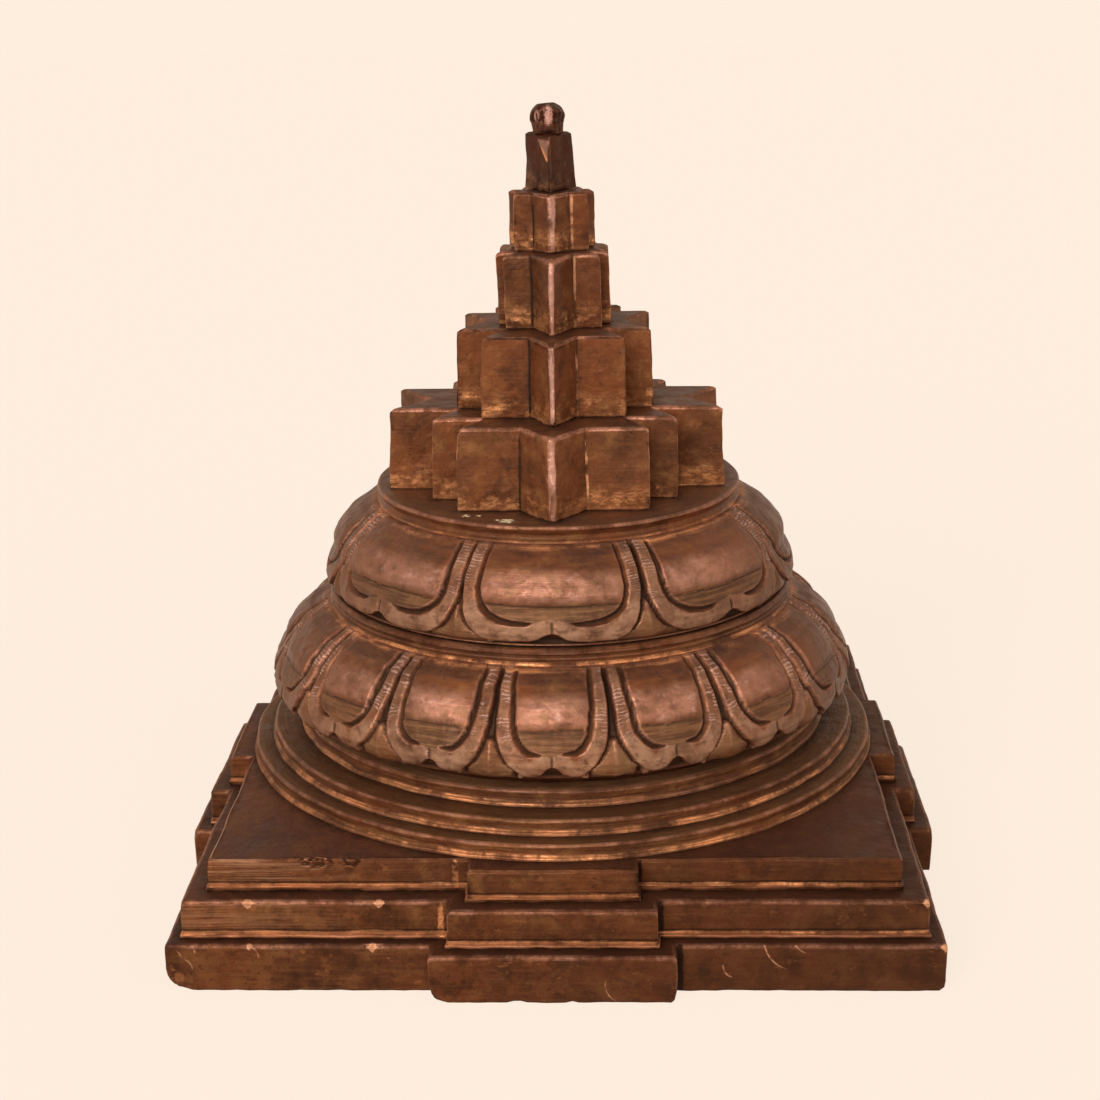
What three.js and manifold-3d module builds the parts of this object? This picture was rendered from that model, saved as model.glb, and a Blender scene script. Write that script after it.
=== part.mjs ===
// Meru shri yantra in cast copper: a stack of castings drawn together by a rod on the axis.
// Millimetres, +Z up, origin under the middle of the base. The front of the figure faces -Y.

import * as THREE from "three";
import { mergeVertices } from "three/addons/utils/BufferGeometryUtils.js";
import Module from "manifold-3d";

const wasm = await Module();
wasm.setup();

// Driving dimensions: castings in general
const castWall = 8;
const castDeck = 6;
const castDraftShare = 0.015; // how much a star tier narrows towards its top
const fitGap = 0.3; // clearance where one piece passes into another
const overrun = 1; // how far a cut runs past the face that it opens
const ribHeight = 3; // rim on a step's deck that the next step drops over
const ribWidth = 4;
const wornEdge = 1; // chamfer that hand finishing leaves on top edges
const toeReach = 1; // narrow toe line that stands out at the foot of an upper casting
const toeHeight = 1.4;

// Driving dimensions: three square steps with a gate in the middle of each side. A tread is what
// a piece leaves bare of the one under it.
const lowerHalf = 150;
const lowerRise = 19.5;
const lowerGateHalf = 47;
const lowerGateReach = 9.1;
const lowerTread = 6.3;
const middleRise = 15.5;
const middleGateHalf = 40;
const middleGateReach = 8.3;
const middleTread = 9.7;
const upperRise = 12.8;
const upperGateHalf = 32.5;
const upperGateReach = 10;
const girdleOverhang = 1.5; // the lowest ring just passes the sides of the upper step

// Driving dimensions: three girdle rings, bored alike for the outer lotus's spigot
const lowerGirdleRise = 6.6;
const lowerGirdleTread = 8.5;
const middleGirdleRise = 6.5;
const middleGirdleTread = 12.5;
const upperGirdleRise = 6.8;
const upperGirdleWall = 16.5;
const girdleShelf = 8; // from the bore out to the foot of the outer lotus

// Driving dimensions: outer lotus of sixteen petals
const outerPetals = 16;
const outerTipLift = 9.8; // from the tread up to the petal tips
const outerPetalHeight = 36.8;
const outerBelly = 20.5; // how far the widest circle stands out past the foot
const outerTaper = 4.5; // how far the top lies inside the foot

// Driving dimensions: plain band between the lotuses
const bandInset = 2;
const bandWall = 19.5;
const bandRise = 7.1;
const bandGroove = 0.8;

// Driving dimensions: inner lotus of eight petals
const innerPetals = 8;
const innerInset = 3;
const innerTipLift = 2.8;
const innerPetalHeight = 33.3;
const innerBelly = 5;
const innerTaper = 17;

// Driving dimensions: carving of the petals
const carveDepth = 2.6; // how deep the ground between petals lies
const grooveDepth = 2;
const grooveWidth = 5;
const carveSlope = 2.2; // run over which a carved side falls to its full depth
const petalCrown = 1.6; // swell of the field over its crease
const creaseShare = 0.42; // height of the crease, as a share of the petal's height
const tipThickness = 4;
const tipUndercutShare = 0.33; // of the tip's thickness, by which its back edge lies lower
const footFlare = 1.5;
const footRiseShare = 0.33; // of the lift of the tips, up to which the foot is plain

// Driving dimensions: crown disc
const crownInset = 1.5;
const crownRise = 7.1;
const crownCove = 2;
const crownShelf = 16; // from the spigot out to the rim
const crownSpigotDepth = 4;
const crownSpigotWall = 6;

// Driving dimensions: star tiers, on the figure of nine triangles in one circle
const figureInset = 4.8; // from the rim of the crown in to the circle of the figure
const fourteenRise = 34.5;
const outerTenRise = 33.3;
const innerTenRise = 30.8;
const eightRise = 23.9;
const triangleHalf = 10.5; // half of the front tier's back side
const triangleRise = 23.4;
const triangleDraftShare = 0.09;
const binduRadius = 7.25;
const binduHeight = 12.2;
const binduMiddle = 6.4; // height of its widest circle
const binduNeckRadius = 6.2;
const binduBoreDepth = 7.3;

// Driving dimensions: the rod and what it pulls against
const rodRadius = 3;
const rodChamfer = 0.6;
const rodTail = 1; // end that stands out under the nut
const plateThickness = 4;
const washerRadius = 12;
const washerThickness = 1.6;
const nutAcrossFlats = 10;
const nutThickness = 5;

// Facets round a turned piece
const ringFacets = 56;
const smallFacets = 24;

// Half sides and radii, from the lowest step in to the figure
const middleHalf = lowerHalf - lowerTread;
const upperHalf = middleHalf - middleTread;
const lowerGirdleRadius = upperHalf + girdleOverhang;
const middleGirdleRadius = lowerGirdleRadius - lowerGirdleTread;
const upperGirdleRadius = middleGirdleRadius - middleGirdleTread;
const girdleBore = upperGirdleRadius - upperGirdleWall;
const outerFootRadius = girdleBore + girdleShelf;
const outerWidestRadius = outerFootRadius + outerBelly;
const outerTopRadius = outerFootRadius - outerTaper;
const bandRadius = outerTopRadius - bandInset;
const bandBore = bandRadius - bandWall;
const innerFootRadius = bandRadius - innerInset;
const innerWidestRadius = innerFootRadius + innerBelly;
const innerTopRadius = innerFootRadius - innerTaper;
const crownRadius = innerTopRadius - crownInset;
const crownSpigotRadius = crownRadius - crownShelf;
const figureRadius = crownRadius - figureInset;

// Heights of the seats, each on the piece below
const middleSeat = lowerRise;
const upperSeat = middleSeat + middleRise;
const lowerGirdleSeat = upperSeat + upperRise;
const middleGirdleSeat = lowerGirdleSeat + lowerGirdleRise;
const upperGirdleSeat = middleGirdleSeat + middleGirdleRise;
const outerLotusSeat = upperGirdleSeat + upperGirdleRise;
const bandSeat = outerLotusSeat + outerTipLift + outerPetalHeight;
const innerLotusSeat = bandSeat + bandRise;
const crownSeat = innerLotusSeat + innerTipLift + innerPetalHeight;
const fourteenSeat = crownSeat + crownRise;
const outerTenSeat = fourteenSeat + fourteenRise;
const innerTenSeat = outerTenSeat + outerTenRise;
const eightSeat = innerTenSeat + innerTenRise;
const triangleSeat = eightSeat + eightRise;
const binduSeat = triangleSeat + triangleRise;
const plateTop = lowerRise - castDeck;
const plateSeat = plateTop - plateThickness;
const washerSeat = plateSeat - washerThickness;
const nutSeat = washerSeat - nutThickness;
const rodBoreRadius = rodRadius + fitGap;

// Solids and meshes

function toSolid(geometry) {
  const bare = geometry.clone();
  bare.deleteAttribute("normal");
  bare.deleteAttribute("uv");
  const merged = mergeVertices(bare);
  return new wasm.Manifold(
    new wasm.Mesh({
      numProp: 3,
      vertProperties: Float32Array.from(merged.attributes.position.array),
      triVerts: Uint32Array.from(merged.index.array),
    }),
  );
}

function toGeometry(solid) {
  const mesh = solid.getMesh();
  const geometry = new THREE.BufferGeometry();
  geometry.setAttribute("position", new THREE.BufferAttribute(mesh.vertProperties, 3));
  geometry.setIndex(new THREE.BufferAttribute(mesh.triVerts, 1));
  geometry.computeVertexNormals();
  return geometry;
}

const finishes = {
  patina: new THREE.MeshStandardMaterial({ color: 0x5a3322, roughness: 0.42, metalness: 1 }),
  steel: new THREE.MeshStandardMaterial({ color: 0x8c8c8a, roughness: 0.45, metalness: 1 }),
};

function piece(name, solid, seat, finish = finishes.patina) {
  const mesh = new THREE.Mesh(toGeometry(solid), finish.clone());
  mesh.name = name;
  mesh.position.z = seat;
  return mesh;
}

// A closed solid through outlines of the same number of points, from the lowest level up.
function loft(levels) {
  const count = levels[0].outline.length;
  const positions = levels.flatMap(({ outline, z }) => outline.flatMap(([x, y]) => [x, y, z]));
  const index = [];
  for (let level = 0; level + 1 < levels.length; level++) {
    for (let i = 0; i < count; i++) {
      const a = level * count + i;
      const b = level * count + ((i + 1) % count);
      index.push(a, b, b + count, a, b + count, a + count);
    }
  }
  const capOf = ({ outline }) =>
    THREE.ShapeUtils.triangulateShape(outline.map(([x, y]) => new THREE.Vector2(x, y)), []);
  const top = (levels.length - 1) * count;
  for (const [a, b, c] of capOf(levels[0])) index.push(a, c, b);
  for (const [a, b, c] of capOf(levels.at(-1))) index.push(top + a, top + b, top + c);
  const geometry = new THREE.BufferGeometry();
  geometry.setAttribute("position", new THREE.Float32BufferAttribute(positions, 3));
  geometry.setIndex(index);
  return toSolid(geometry);
}

// A solid turned about the axis, from a profile of [radius, height] points.
function revolve(profile, facets = ringFacets) {
  const points = profile.map(([radius, height]) => new THREE.Vector2(radius, height));
  return toSolid(new THREE.LatheGeometry(points, facets).rotateX(Math.PI / 2));
}

function closed(profile) {
  return [...profile, profile[0]];
}

// An outline that runs anticlockwise, drawn in by a distance on every side.
function drawnIn(outline, distance) {
  const count = outline.length;
  const normalOf = (i) => {
    const [ax, ay] = outline[(i + count) % count];
    const [bx, by] = outline[(i + 1) % count];
    const run = Math.hypot(bx - ax, by - ay);
    return [(ay - by) / run, (bx - ax) / run];
  };
  return outline.map(([x, y], i) => {
    const before = normalOf(i - 1);
    const after = normalOf(i);
    const shared = 1 + before[0] * after[0] + before[1] * after[1];
    return [
      x + (distance * (before[0] + after[0])) / shared,
      y + (distance * (before[1] + after[1])) / shared,
    ];
  });
}

// Square steps

// A square with a gate standing out of the middle of each side, anticlockwise from the front.
function gatedSquare(half, gateHalf, gateReach) {
  const side = [
    [-gateHalf, -half],
    [-gateHalf, -half - gateReach],
    [gateHalf, -half - gateReach],
    [gateHalf, -half],
    [half, -half],
  ];
  const turns = [
    ([x, y]) => [x, y],
    ([x, y]) => [-y, x],
    ([x, y]) => [-x, -y],
    ([x, y]) => [y, -x],
  ];
  return turns.flatMap((turn) => side.map(turn));
}

function square(half) {
  return [
    [-half, -half],
    [half, -half],
    [half, half],
    [-half, half],
  ];
}

function prism(outline, low, high) {
  return loft([
    { outline, z: low },
    { outline, z: high },
  ]);
}

// A step is a shell: a skirt with a toe line at its foot and a worn top edge, under a deck.
function step({ half, rise, gateHalf, gateReach, hasToe }) {
  const outline = gatedSquare(half, gateHalf, gateReach);
  let solid = loft([
    { outline, z: 0 },
    { outline, z: rise - wornEdge },
    { outline: drawnIn(outline, wornEdge), z: rise },
  ]);
  if (hasToe) {
    const toe = gatedSquare(half + toeReach, gateHalf + toeReach, gateReach);
    solid = solid.add(prism(toe, 0, toeHeight));
  }
  const pocket = gatedSquare(half - castWall, gateHalf - castWall, gateReach);
  return solid.subtract(prism(pocket, -overrun, rise - castDeck));
}

// The deck of a lower step is a ledge with a rim that centres the skirt of the next step.
function ledgeStep(size, nextHalf) {
  const rimHalf = nextHalf - castWall - fitGap;
  const rimLow = size.rise - castDeck;
  const rimHigh = size.rise + ribHeight;
  const opening = prism(square(rimHalf - ribWidth), -overrun, rimHigh + overrun);
  return step(size).add(prism(square(rimHalf), rimLow, rimHigh)).subtract(opening);
}

function girdleStep(size) {
  const bore = revolve(rod(girdleBore, -overrun, size.rise + overrun));
  return step(size).subtract(bore);
}

// Profile of a plain round bar on the axis.
function rod(radius, low, high) {
  return [
    [0, low],
    [radius, low],
    [radius, high],
    [0, high],
  ];
}

// Round work

function girdle(radius, rise) {
  return revolve(
    closed([
      [girdleBore, 0],
      [radius + toeReach, 0],
      [radius + toeReach, toeHeight],
      [radius, toeHeight],
      [radius, rise - wornEdge],
      [radius - wornEdge, rise],
      [girdleBore, rise],
    ]),
  );
}

function footBand() {
  const middle = (toeHeight + bandRise) / 2;
  return revolve(
    closed([
      [bandBore, 0],
      [bandRadius + toeReach, 0],
      [bandRadius, toeHeight],
      [bandRadius, middle - bandGroove],
      [bandRadius - bandGroove, middle],
      [bandRadius, middle + bandGroove],
      [bandRadius, bandRise - wornEdge],
      [bandRadius - wornEdge, bandRise],
      [bandBore, bandRise],
    ]),
  );
}

function crownDisc() {
  const spigot = crownSpigotRadius - fitGap;
  const waist = crownRise / 2;
  return revolve(
    closed([
      [rodBoreRadius, 0],
      [spigot - crownSpigotWall, 0],
      [spigot - crownSpigotWall, -crownSpigotDepth],
      [spigot, -crownSpigotDepth],
      [spigot, 0],
      [crownRadius, 0],
      [crownRadius - toeReach, toeHeight],
      [crownRadius - crownCove, waist],
      [crownRadius, crownRise - 2 * wornEdge],
      [crownRadius, crownRise - wornEdge],
      [crownRadius - wornEdge, crownRise],
      [rodBoreRadius, crownRise],
    ]),
  );
}

// Lotus petals

// Shares of a petal's height, from tips to top, and of the way from the top radius out to the
// widest radius: tips, widest lip, crease under the field, shoulder and top.
const outerProfileShares = [
  [0, 0.84],
  [0.14, 1],
  [0.28, 0.96],
  [0.42, 0.86],
  [0.5, 0.77],
  [0.68, 0.6],
  [0.88, 0.32],
  [1, 0],
];
const innerProfileShares = [
  [0, 0.88],
  [0.1, 1],
  [0.2, 0.97],
  [0.32, 0.89],
  [0.42, 0.79],
  [0.58, 0.7],
  [0.76, 0.49],
  [0.9, 0.25],
  [1, 0],
];

// The petal's edge, as shares of the half pitch and of the petal's height, from the cusp between
// the two lobes of the tip, round a lobe and up the side.
const petalEdgeShares = [
  [0, 0.13],
  [0.1, 0.05],
  [0.3, 0],
  [0.62, 0],
  [0.8, 0.1],
  [0.92, 0.28],
  [0.95, 0.5],
  [0.94, 0.8],
  [0.93, 1],
];

// The groove inside the rim: down the side, then curling in under the field.
const petalGrooveShares = [
  [0.8, 1],
  [0.78, 0.7],
  [0.75, 0.42],
  [0.68, 0.26],
  [0.52, 0.17],
  [0.34, 0.16],
  [0.22, 0.2],
];

// Where the carving is cut across half a petal, from its middle to the ground beside it.
const outerColumnShares = [0, 0.45, 0.69, 0.78, 0.88, 1];
const innerColumnShares = [0, 0.2, 0.4, 0.58, 0.7, 0.78, 0.87, 0.94, 1];

// How far a point lies from a line of points.
function distanceTo(path, x, y) {
  let nearest = Infinity;
  for (let i = 0; i + 1 < path.length; i++) {
    const [ax, ay] = path[i];
    const [bx, by] = path[i + 1];
    const along = ((x - ax) * (bx - ax) + (y - ay) * (by - ay)) / ((bx - ax) ** 2 + (by - ay) ** 2);
    const t = THREE.MathUtils.clamp(along, 0, 1);
    nearest = Math.min(nearest, Math.hypot(x - ax - t * (bx - ax), y - ay - t * (by - ay)));
  }
  return nearest;
}

// A value read off a list of [place, value] pairs.
function readOff(pairs, place) {
  const next = Math.max(1, pairs.findIndex(([at]) => at >= place));
  const [low, lowValue] = pairs[next - 1];
  const [high, highValue] = pairs[next];
  return THREE.MathUtils.mapLinear(place, low, high, lowValue, highValue);
}

// Half the width of a petal at a height, as a share of the half pitch.
function halfWidthShare(heightShare) {
  const side = petalEdgeShares.slice(3).map(([across, up]) => [up, across]);
  return readOff(side, heightShare);
}

// How far the field swells out over its crease at one point, fullest low down.
function swelling(across, up) {
  const fieldHalf = petalGrooveShares[1][0];
  if (up <= creaseShare || across >= fieldHalf) return 0;
  const over = Math.cos((across / fieldHalf) * (Math.PI / 2));
  const along = Math.sqrt((up - creaseShare) / (1 - creaseShare));
  return petalCrown * over * Math.sin(Math.PI * along);
}

// How deep the carving lies under the petal's plain profile at one point.
function carving(across, up, halfPitch, petalHeight) {
  const toLengths = ([a, h]) => [a * halfPitch, h * petalHeight];
  const x = across * halfPitch;
  const y = up * petalHeight;
  const cuspWidth = petalEdgeShares[2][0];
  const inCusp = across < cuspWidth && up < petalEdgeShares[0][1] * (1 - across / cuspWidth);
  const outside = across > halfWidthShare(up) || inCusp;
  const edge = distanceTo(petalEdgeShares.map(toLengths), x, y);
  const ground = outside ? carveDepth * Math.min(1, edge / carveSlope) : 0;
  const groove = distanceTo(petalGrooveShares.map(toLengths), x, y);
  const cut = outside ? 0 : grooveDepth * Math.max(0, 1 - (2 * groove) / grooveWidth);
  return ground + cut - swelling(across, up);
}

// A ring of petals is one thick casting with a straight bore, and a spigot that centres it below.
function lotus(ring) {
  const { petals, profileShares, columnShares, petalHeight, tipLift } = ring;
  const height = tipLift + petalHeight;
  const footRise = tipLift * footRiseShare;
  const halfPitch = (Math.PI / petals) * ring.widestRadius;
  const spigot = ring.spigotRadius - fitGap;
  const columns = [...columnShares.slice(1, -1).map((a) => -a).reverse(), ...columnShares];
  const radiusAt = (up) =>
    THREE.MathUtils.lerp(ring.topRadius, ring.widestRadius, readOff(profileShares, up));
  const ringOutline = (radiusAcross) => {
    const outline = [];
    for (let petal = 0; petal < petals; petal++) {
      for (const across of columns) {
        const angle = ((2 * petal + across) * Math.PI) / petals - Math.PI / 2;
        const radius = radiusAcross(Math.abs(across));
        outline.push([radius * Math.cos(angle), radius * Math.sin(angle)]);
      }
    }
    return outline;
  };
  const carvedRadius = (up) => (across) =>
    radiusAt(up) - (up < 1 ? carving(across, up, halfPitch, petalHeight) : 0);
  const body = loft([
    { z: 0, outline: ringOutline(() => ring.footRadius) },
    { z: footRise, outline: ringOutline(() => ring.footRadius + footFlare) },
    {
      z: tipLift - tipThickness * tipUndercutShare,
      outline: ringOutline((across) => carvedRadius(0)(across) - tipThickness),
    },
    ...profileShares.map(([up]) => ({
      z: tipLift + up * petalHeight,
      outline: ringOutline(carvedRadius(up)),
    })),
  ]);
  const collar = revolve(rod(spigot, -ring.spigotDepth, footRise));
  const bore = revolve(rod(ring.boreRadius, -ring.spigotDepth - overrun, height + overrun));
  return body.add(collar).subtract(bore);
}

// The figure of nine triangles, from which the star tiers are drawn

// Each triangle has a base line and an apex. Heights on the figure and the lengths rubbed out at
// each end of a base line are in twenty-fourths of the circle's radius, front to back.
const figureShares = 24;
const nineTriangleShares = {
  1: { base: 18, rubbed: 3, apex: -3 },
  2: { base: 12, rubbed: 5, apex: -18 },
  3: { base: 7, rubbed: 0, apex: -24 },
  4: { base: 4, rubbed: 16, apex: -12 },
  5: { base: 1, rubbed: 18, apex: -6 },
  6: { base: -3, rubbed: 16, apex: 12 },
  7: { base: -6, rubbed: 0, apex: 24 },
  8: { base: -12, rubbed: 4, apex: 18 },
  9: { base: -18, rubbed: 3, apex: 7 },
};

const triangle = (n) => nineTriangleShares[n];

function baseHalf(n) {
  return Math.sqrt(figureShares ** 2 - triangle(n).base ** 2) - triangle(n).rubbed;
}

// Half the width of triangle n at a height on the figure.
function halfAt(n, y) {
  return (baseHalf(n) * (y - triangle(n).apex)) / (triangle(n).base - triangle(n).apex);
}

const apexOf = (n) => [0, triangle(n).apex];
const cornerOf = (n) => [baseHalf(n), triangle(n).base];
// Where the side of triangle n meets the base line of triangle m.
const sideOnBase = (n, m) => [halfAt(n, triangle(m).base), triangle(m).base];

// Where the sides of two triangles cross.
function sidesCross(n, m) {
  const slopeOf = (k) => baseHalf(k) / (triangle(k).base - triangle(k).apex);
  const y =
    (slopeOf(n) * triangle(n).apex - slopeOf(m) * triangle(m).apex) / (slopeOf(n) - slopeOf(m));
  return [halfAt(n, y), y];
}

// Right half of each star, from its front point round to its back point.
const fourteenHalf = [
  apexOf(3),
  sideOnBase(3, 9),
  cornerOf(9),
  sideOnBase(9, 8),
  cornerOf(8),
  sideOnBase(8, 7),
  cornerOf(7),
  sidesCross(7, 3),
  cornerOf(3),
  sideOnBase(2, 3),
  cornerOf(2),
  sideOnBase(1, 2),
  cornerOf(1),
  sideOnBase(7, 1),
  apexOf(7),
];
const outerTenHalf = [
  apexOf(2),
  sideOnBase(2, 8),
  sideOnBase(9, 8),
  sideOnBase(9, 7),
  sideOnBase(8, 7),
  sidesCross(8, 2),
  sideOnBase(2, 3),
  sideOnBase(1, 3),
  sideOnBase(1, 2),
  sideOnBase(8, 2),
  apexOf(8),
];
const innerTenHalf = [
  apexOf(4),
  sideOnBase(4, 7),
  sideOnBase(9, 7),
  sideOnBase(9, 6),
  cornerOf(6),
  sidesCross(6, 4),
  cornerOf(4),
  sideOnBase(1, 4),
  sideOnBase(1, 3),
  sideOnBase(6, 3),
  apexOf(6),
];
const eightHalf = [
  apexOf(5),
  sideOnBase(5, 6),
  sideOnBase(9, 6),
  sidesCross(9, 5),
  cornerOf(5),
  sideOnBase(1, 5),
  sideOnBase(1, 4),
  sideOnBase(9, 4),
  apexOf(9),
];

function starOutline(rightHalf) {
  const leftHalf = rightHalf.slice(1, -1).map(([x, y]) => [-x, y]).reverse();
  const unit = figureRadius / figureShares;
  return [...rightHalf, ...leftHalf].map(([x, y]) => [x * unit, y * unit]);
}

// The innermost triangle, sized by its back side, with the axis at the middle of its inner circle.
function triangleOutline() {
  const [half, back] = sideOnBase(1, 5);
  const depth = back - triangle(1).apex;
  const flank = Math.hypot(half, depth);
  const innerCircle = (half * depth) / (half + flank);
  const unit = triangleHalf / half;
  return [
    [0, (innerCircle - depth) * unit],
    [triangleHalf, innerCircle * unit],
    [-triangleHalf, innerCircle * unit],
  ];
}

// A star tier is a solid bar of the star's outline, drawn in towards its top, with a worn top edge
// and a bore for the rod.
function tier(outline, rise, draftShare = castDraftShare) {
  const narrowed = outline.map(([x, y]) => [x * (1 - draftShare), y * (1 - draftShare)]);
  const bar = loft([
    { outline, z: 0 },
    { outline: narrowed, z: rise - wornEdge },
    { outline: drawnIn(narrowed, wornEdge), z: rise },
  ]);
  return bar.subtract(revolve(rod(rodBoreRadius, -overrun, rise + overrun), smallFacets));
}

// A ball with a short neck and a blind bore, which is the rod's upper nut.
function bindu() {
  const up = binduHeight - binduMiddle;
  const start = -Math.acos(binduNeckRadius / binduRadius);
  const steps = 8;
  const ball = [];
  for (let i = 0; i < steps; i++) {
    const angle = THREE.MathUtils.mapLinear(i, 0, steps, start, Math.PI / 2);
    ball.push([binduRadius * Math.cos(angle), binduMiddle + up * Math.sin(angle)]);
  }
  return revolve(
    [
      [0, binduBoreDepth],
      [rodBoreRadius, binduBoreDepth],
      [rodBoreRadius, 0],
      [binduNeckRadius, 0],
      ...ball,
      [0, binduHeight],
    ],
    smallFacets,
  );
}

// Fasteners

function tieRod() {
  const low = nutSeat - rodTail;
  const high = binduSeat + binduBoreDepth - fitGap;
  return revolve(
    [
      [0, low],
      [rodRadius - rodChamfer, low],
      [rodRadius, low + rodChamfer],
      [rodRadius, high - rodChamfer],
      [rodRadius - rodChamfer, high],
      [0, high],
    ],
    smallFacets,
  );
}

function basePlate() {
  const pocket = gatedSquare(lowerHalf - castWall, lowerGateHalf - castWall, lowerGateReach);
  const bore = revolve(rod(rodBoreRadius, -overrun, plateThickness + overrun), smallFacets);
  return prism(drawnIn(pocket, fitGap), 0, plateThickness).subtract(bore);
}

function washer() {
  return revolve(
    closed([
      [rodBoreRadius, 0],
      [washerRadius, 0],
      [washerRadius, washerThickness],
      [rodBoreRadius, washerThickness],
    ]),
    smallFacets,
  );
}

function nut() {
  const sides = 6;
  const acrossCorners = nutAcrossFlats / 2 / Math.cos(Math.PI / sides);
  const bore = revolve(rod(rodBoreRadius, -overrun, nutThickness + overrun), smallFacets);
  return revolve(rod(acrossCorners, 0, nutThickness), sides).subtract(bore);
}

// The stack

const lowerSize = {
  half: lowerHalf,
  rise: lowerRise,
  gateHalf: lowerGateHalf,
  gateReach: lowerGateReach,
  hasToe: false,
};
const middleSize = {
  half: middleHalf,
  rise: middleRise,
  gateHalf: middleGateHalf,
  gateReach: middleGateReach,
  hasToe: true,
};
const upperSize = {
  half: upperHalf,
  rise: upperRise,
  gateHalf: upperGateHalf,
  gateReach: upperGateReach,
  hasToe: true,
};
const outerLotus = {
  petals: outerPetals,
  profileShares: outerProfileShares,
  columnShares: outerColumnShares,
  petalHeight: outerPetalHeight,
  tipLift: outerTipLift,
  footRadius: outerFootRadius,
  topRadius: outerTopRadius,
  widestRadius: outerWidestRadius,
  spigotRadius: girdleBore,
  spigotDepth: outerLotusSeat - lowerGirdleSeat + castDeck,
  boreRadius: bandBore,
};
const innerLotus = {
  petals: innerPetals,
  profileShares: innerProfileShares,
  columnShares: innerColumnShares,
  petalHeight: innerPetalHeight,
  tipLift: innerTipLift,
  footRadius: innerFootRadius,
  topRadius: innerTopRadius,
  widestRadius: innerWidestRadius,
  spigotRadius: bandBore,
  spigotDepth: bandRise + castDeck,
  boreRadius: crownSpigotRadius,
};

const shriYantra = new THREE.Group();
shriYantra.add(
  piece("bhupura_lower_step", ledgeStep(lowerSize, middleHalf), 0),
  piece("bhupura_middle_step", ledgeStep(middleSize, upperHalf), middleSeat),
  piece("bhupura_upper_step", girdleStep(upperSize), upperSeat),
  piece("girdle_lower_ring", girdle(lowerGirdleRadius, lowerGirdleRise), lowerGirdleSeat),
  piece("girdle_middle_ring", girdle(middleGirdleRadius, middleGirdleRise), middleGirdleSeat),
  piece("girdle_upper_ring", girdle(upperGirdleRadius, upperGirdleRise), upperGirdleSeat),
  piece("lotus_sixteen_petals", lotus(outerLotus), outerLotusSeat),
  piece("lotus_foot_band", footBand(), bandSeat),
  piece("lotus_eight_petals", lotus(innerLotus), innerLotusSeat),
  piece("crown_disc", crownDisc(), crownSeat),
  piece("star_fourteen_corners", tier(starOutline(fourteenHalf), fourteenRise), fourteenSeat),
  piece("star_outer_ten_corners", tier(starOutline(outerTenHalf), outerTenRise), outerTenSeat),
  piece("star_inner_ten_corners", tier(starOutline(innerTenHalf), innerTenRise), innerTenSeat),
  piece("star_eight_corners", tier(starOutline(eightHalf), eightRise), eightSeat),
  piece("star_triangle", tier(triangleOutline(), triangleRise, triangleDraftShare), triangleSeat),
  piece("bindu_finial", bindu(), binduSeat),
  piece("tie_rod", tieRod(), 0, finishes.steel),
  piece("base_plate", basePlate(), plateSeat),
  piece("base_washer", washer(), washerSeat, finishes.steel),
  piece("base_nut", nut(), nutSeat, finishes.steel),
);

export default shriYantra;
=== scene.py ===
# %% [markdown]
# # A meru shri yantra in patinated copper
# The object is a stack of castings: three square steps with a gate in the middle of each side,
# three girdle rings, two rings of carved lotus petals, a crown disc, five star tiers and a ball.
# A rod on the axis pulls them together. The frame brings each casting at its real size and place,
# and this lesson makes the hand-finished surface: carving, dents, worn edges and an old patina.

# %% The frame, and the units of this lesson
import math

import bmesh
import bpy
import numpy as np
from mathutils import Matrix, Vector, noise
from mathutils.bvhtree import BVHTree


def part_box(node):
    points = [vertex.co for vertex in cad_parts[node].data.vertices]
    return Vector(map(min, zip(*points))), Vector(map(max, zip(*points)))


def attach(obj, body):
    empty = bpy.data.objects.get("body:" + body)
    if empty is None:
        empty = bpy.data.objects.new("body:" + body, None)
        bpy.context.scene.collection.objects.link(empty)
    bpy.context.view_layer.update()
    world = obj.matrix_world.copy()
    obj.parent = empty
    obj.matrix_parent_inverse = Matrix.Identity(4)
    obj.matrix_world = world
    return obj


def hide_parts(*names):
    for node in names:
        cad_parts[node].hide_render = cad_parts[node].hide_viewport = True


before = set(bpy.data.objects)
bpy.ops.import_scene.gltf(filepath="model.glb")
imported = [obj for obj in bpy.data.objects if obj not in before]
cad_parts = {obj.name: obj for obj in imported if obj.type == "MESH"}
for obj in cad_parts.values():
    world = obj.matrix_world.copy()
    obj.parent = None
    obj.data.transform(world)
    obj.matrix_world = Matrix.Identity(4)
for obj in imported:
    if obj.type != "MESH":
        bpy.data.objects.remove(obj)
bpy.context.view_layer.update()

MM = 0.001
print("castings in the frame:", len(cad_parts))


def low_of(node):
    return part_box(node)[0].z


def top_of(node):
    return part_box(node)[1].z


def reach_of(node):
    """How far a node reaches from the axis along X."""
    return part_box(node)[1].x


# %% [markdown]
# ## The camera
# The photograph was taken from a little right of the middle and from above, with a longish lens.
# The place and the angles below were worked out from the corners of the steps, whose real size is
# known, so the picture lines up without trying by hand.

# %% Camera
CAMERA_PLACE = Vector((28.9, -842.7, 392.5)) * MM
CAMERA_YAW = -0.0391
CAMERA_PITCH = -0.3006
CAMERA_ROLL = -0.0188
FOCAL_PIXELS = 2023.0
IMAGE_PIXELS = 1100.0
SENSOR_WIDTH = 36.0

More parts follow.
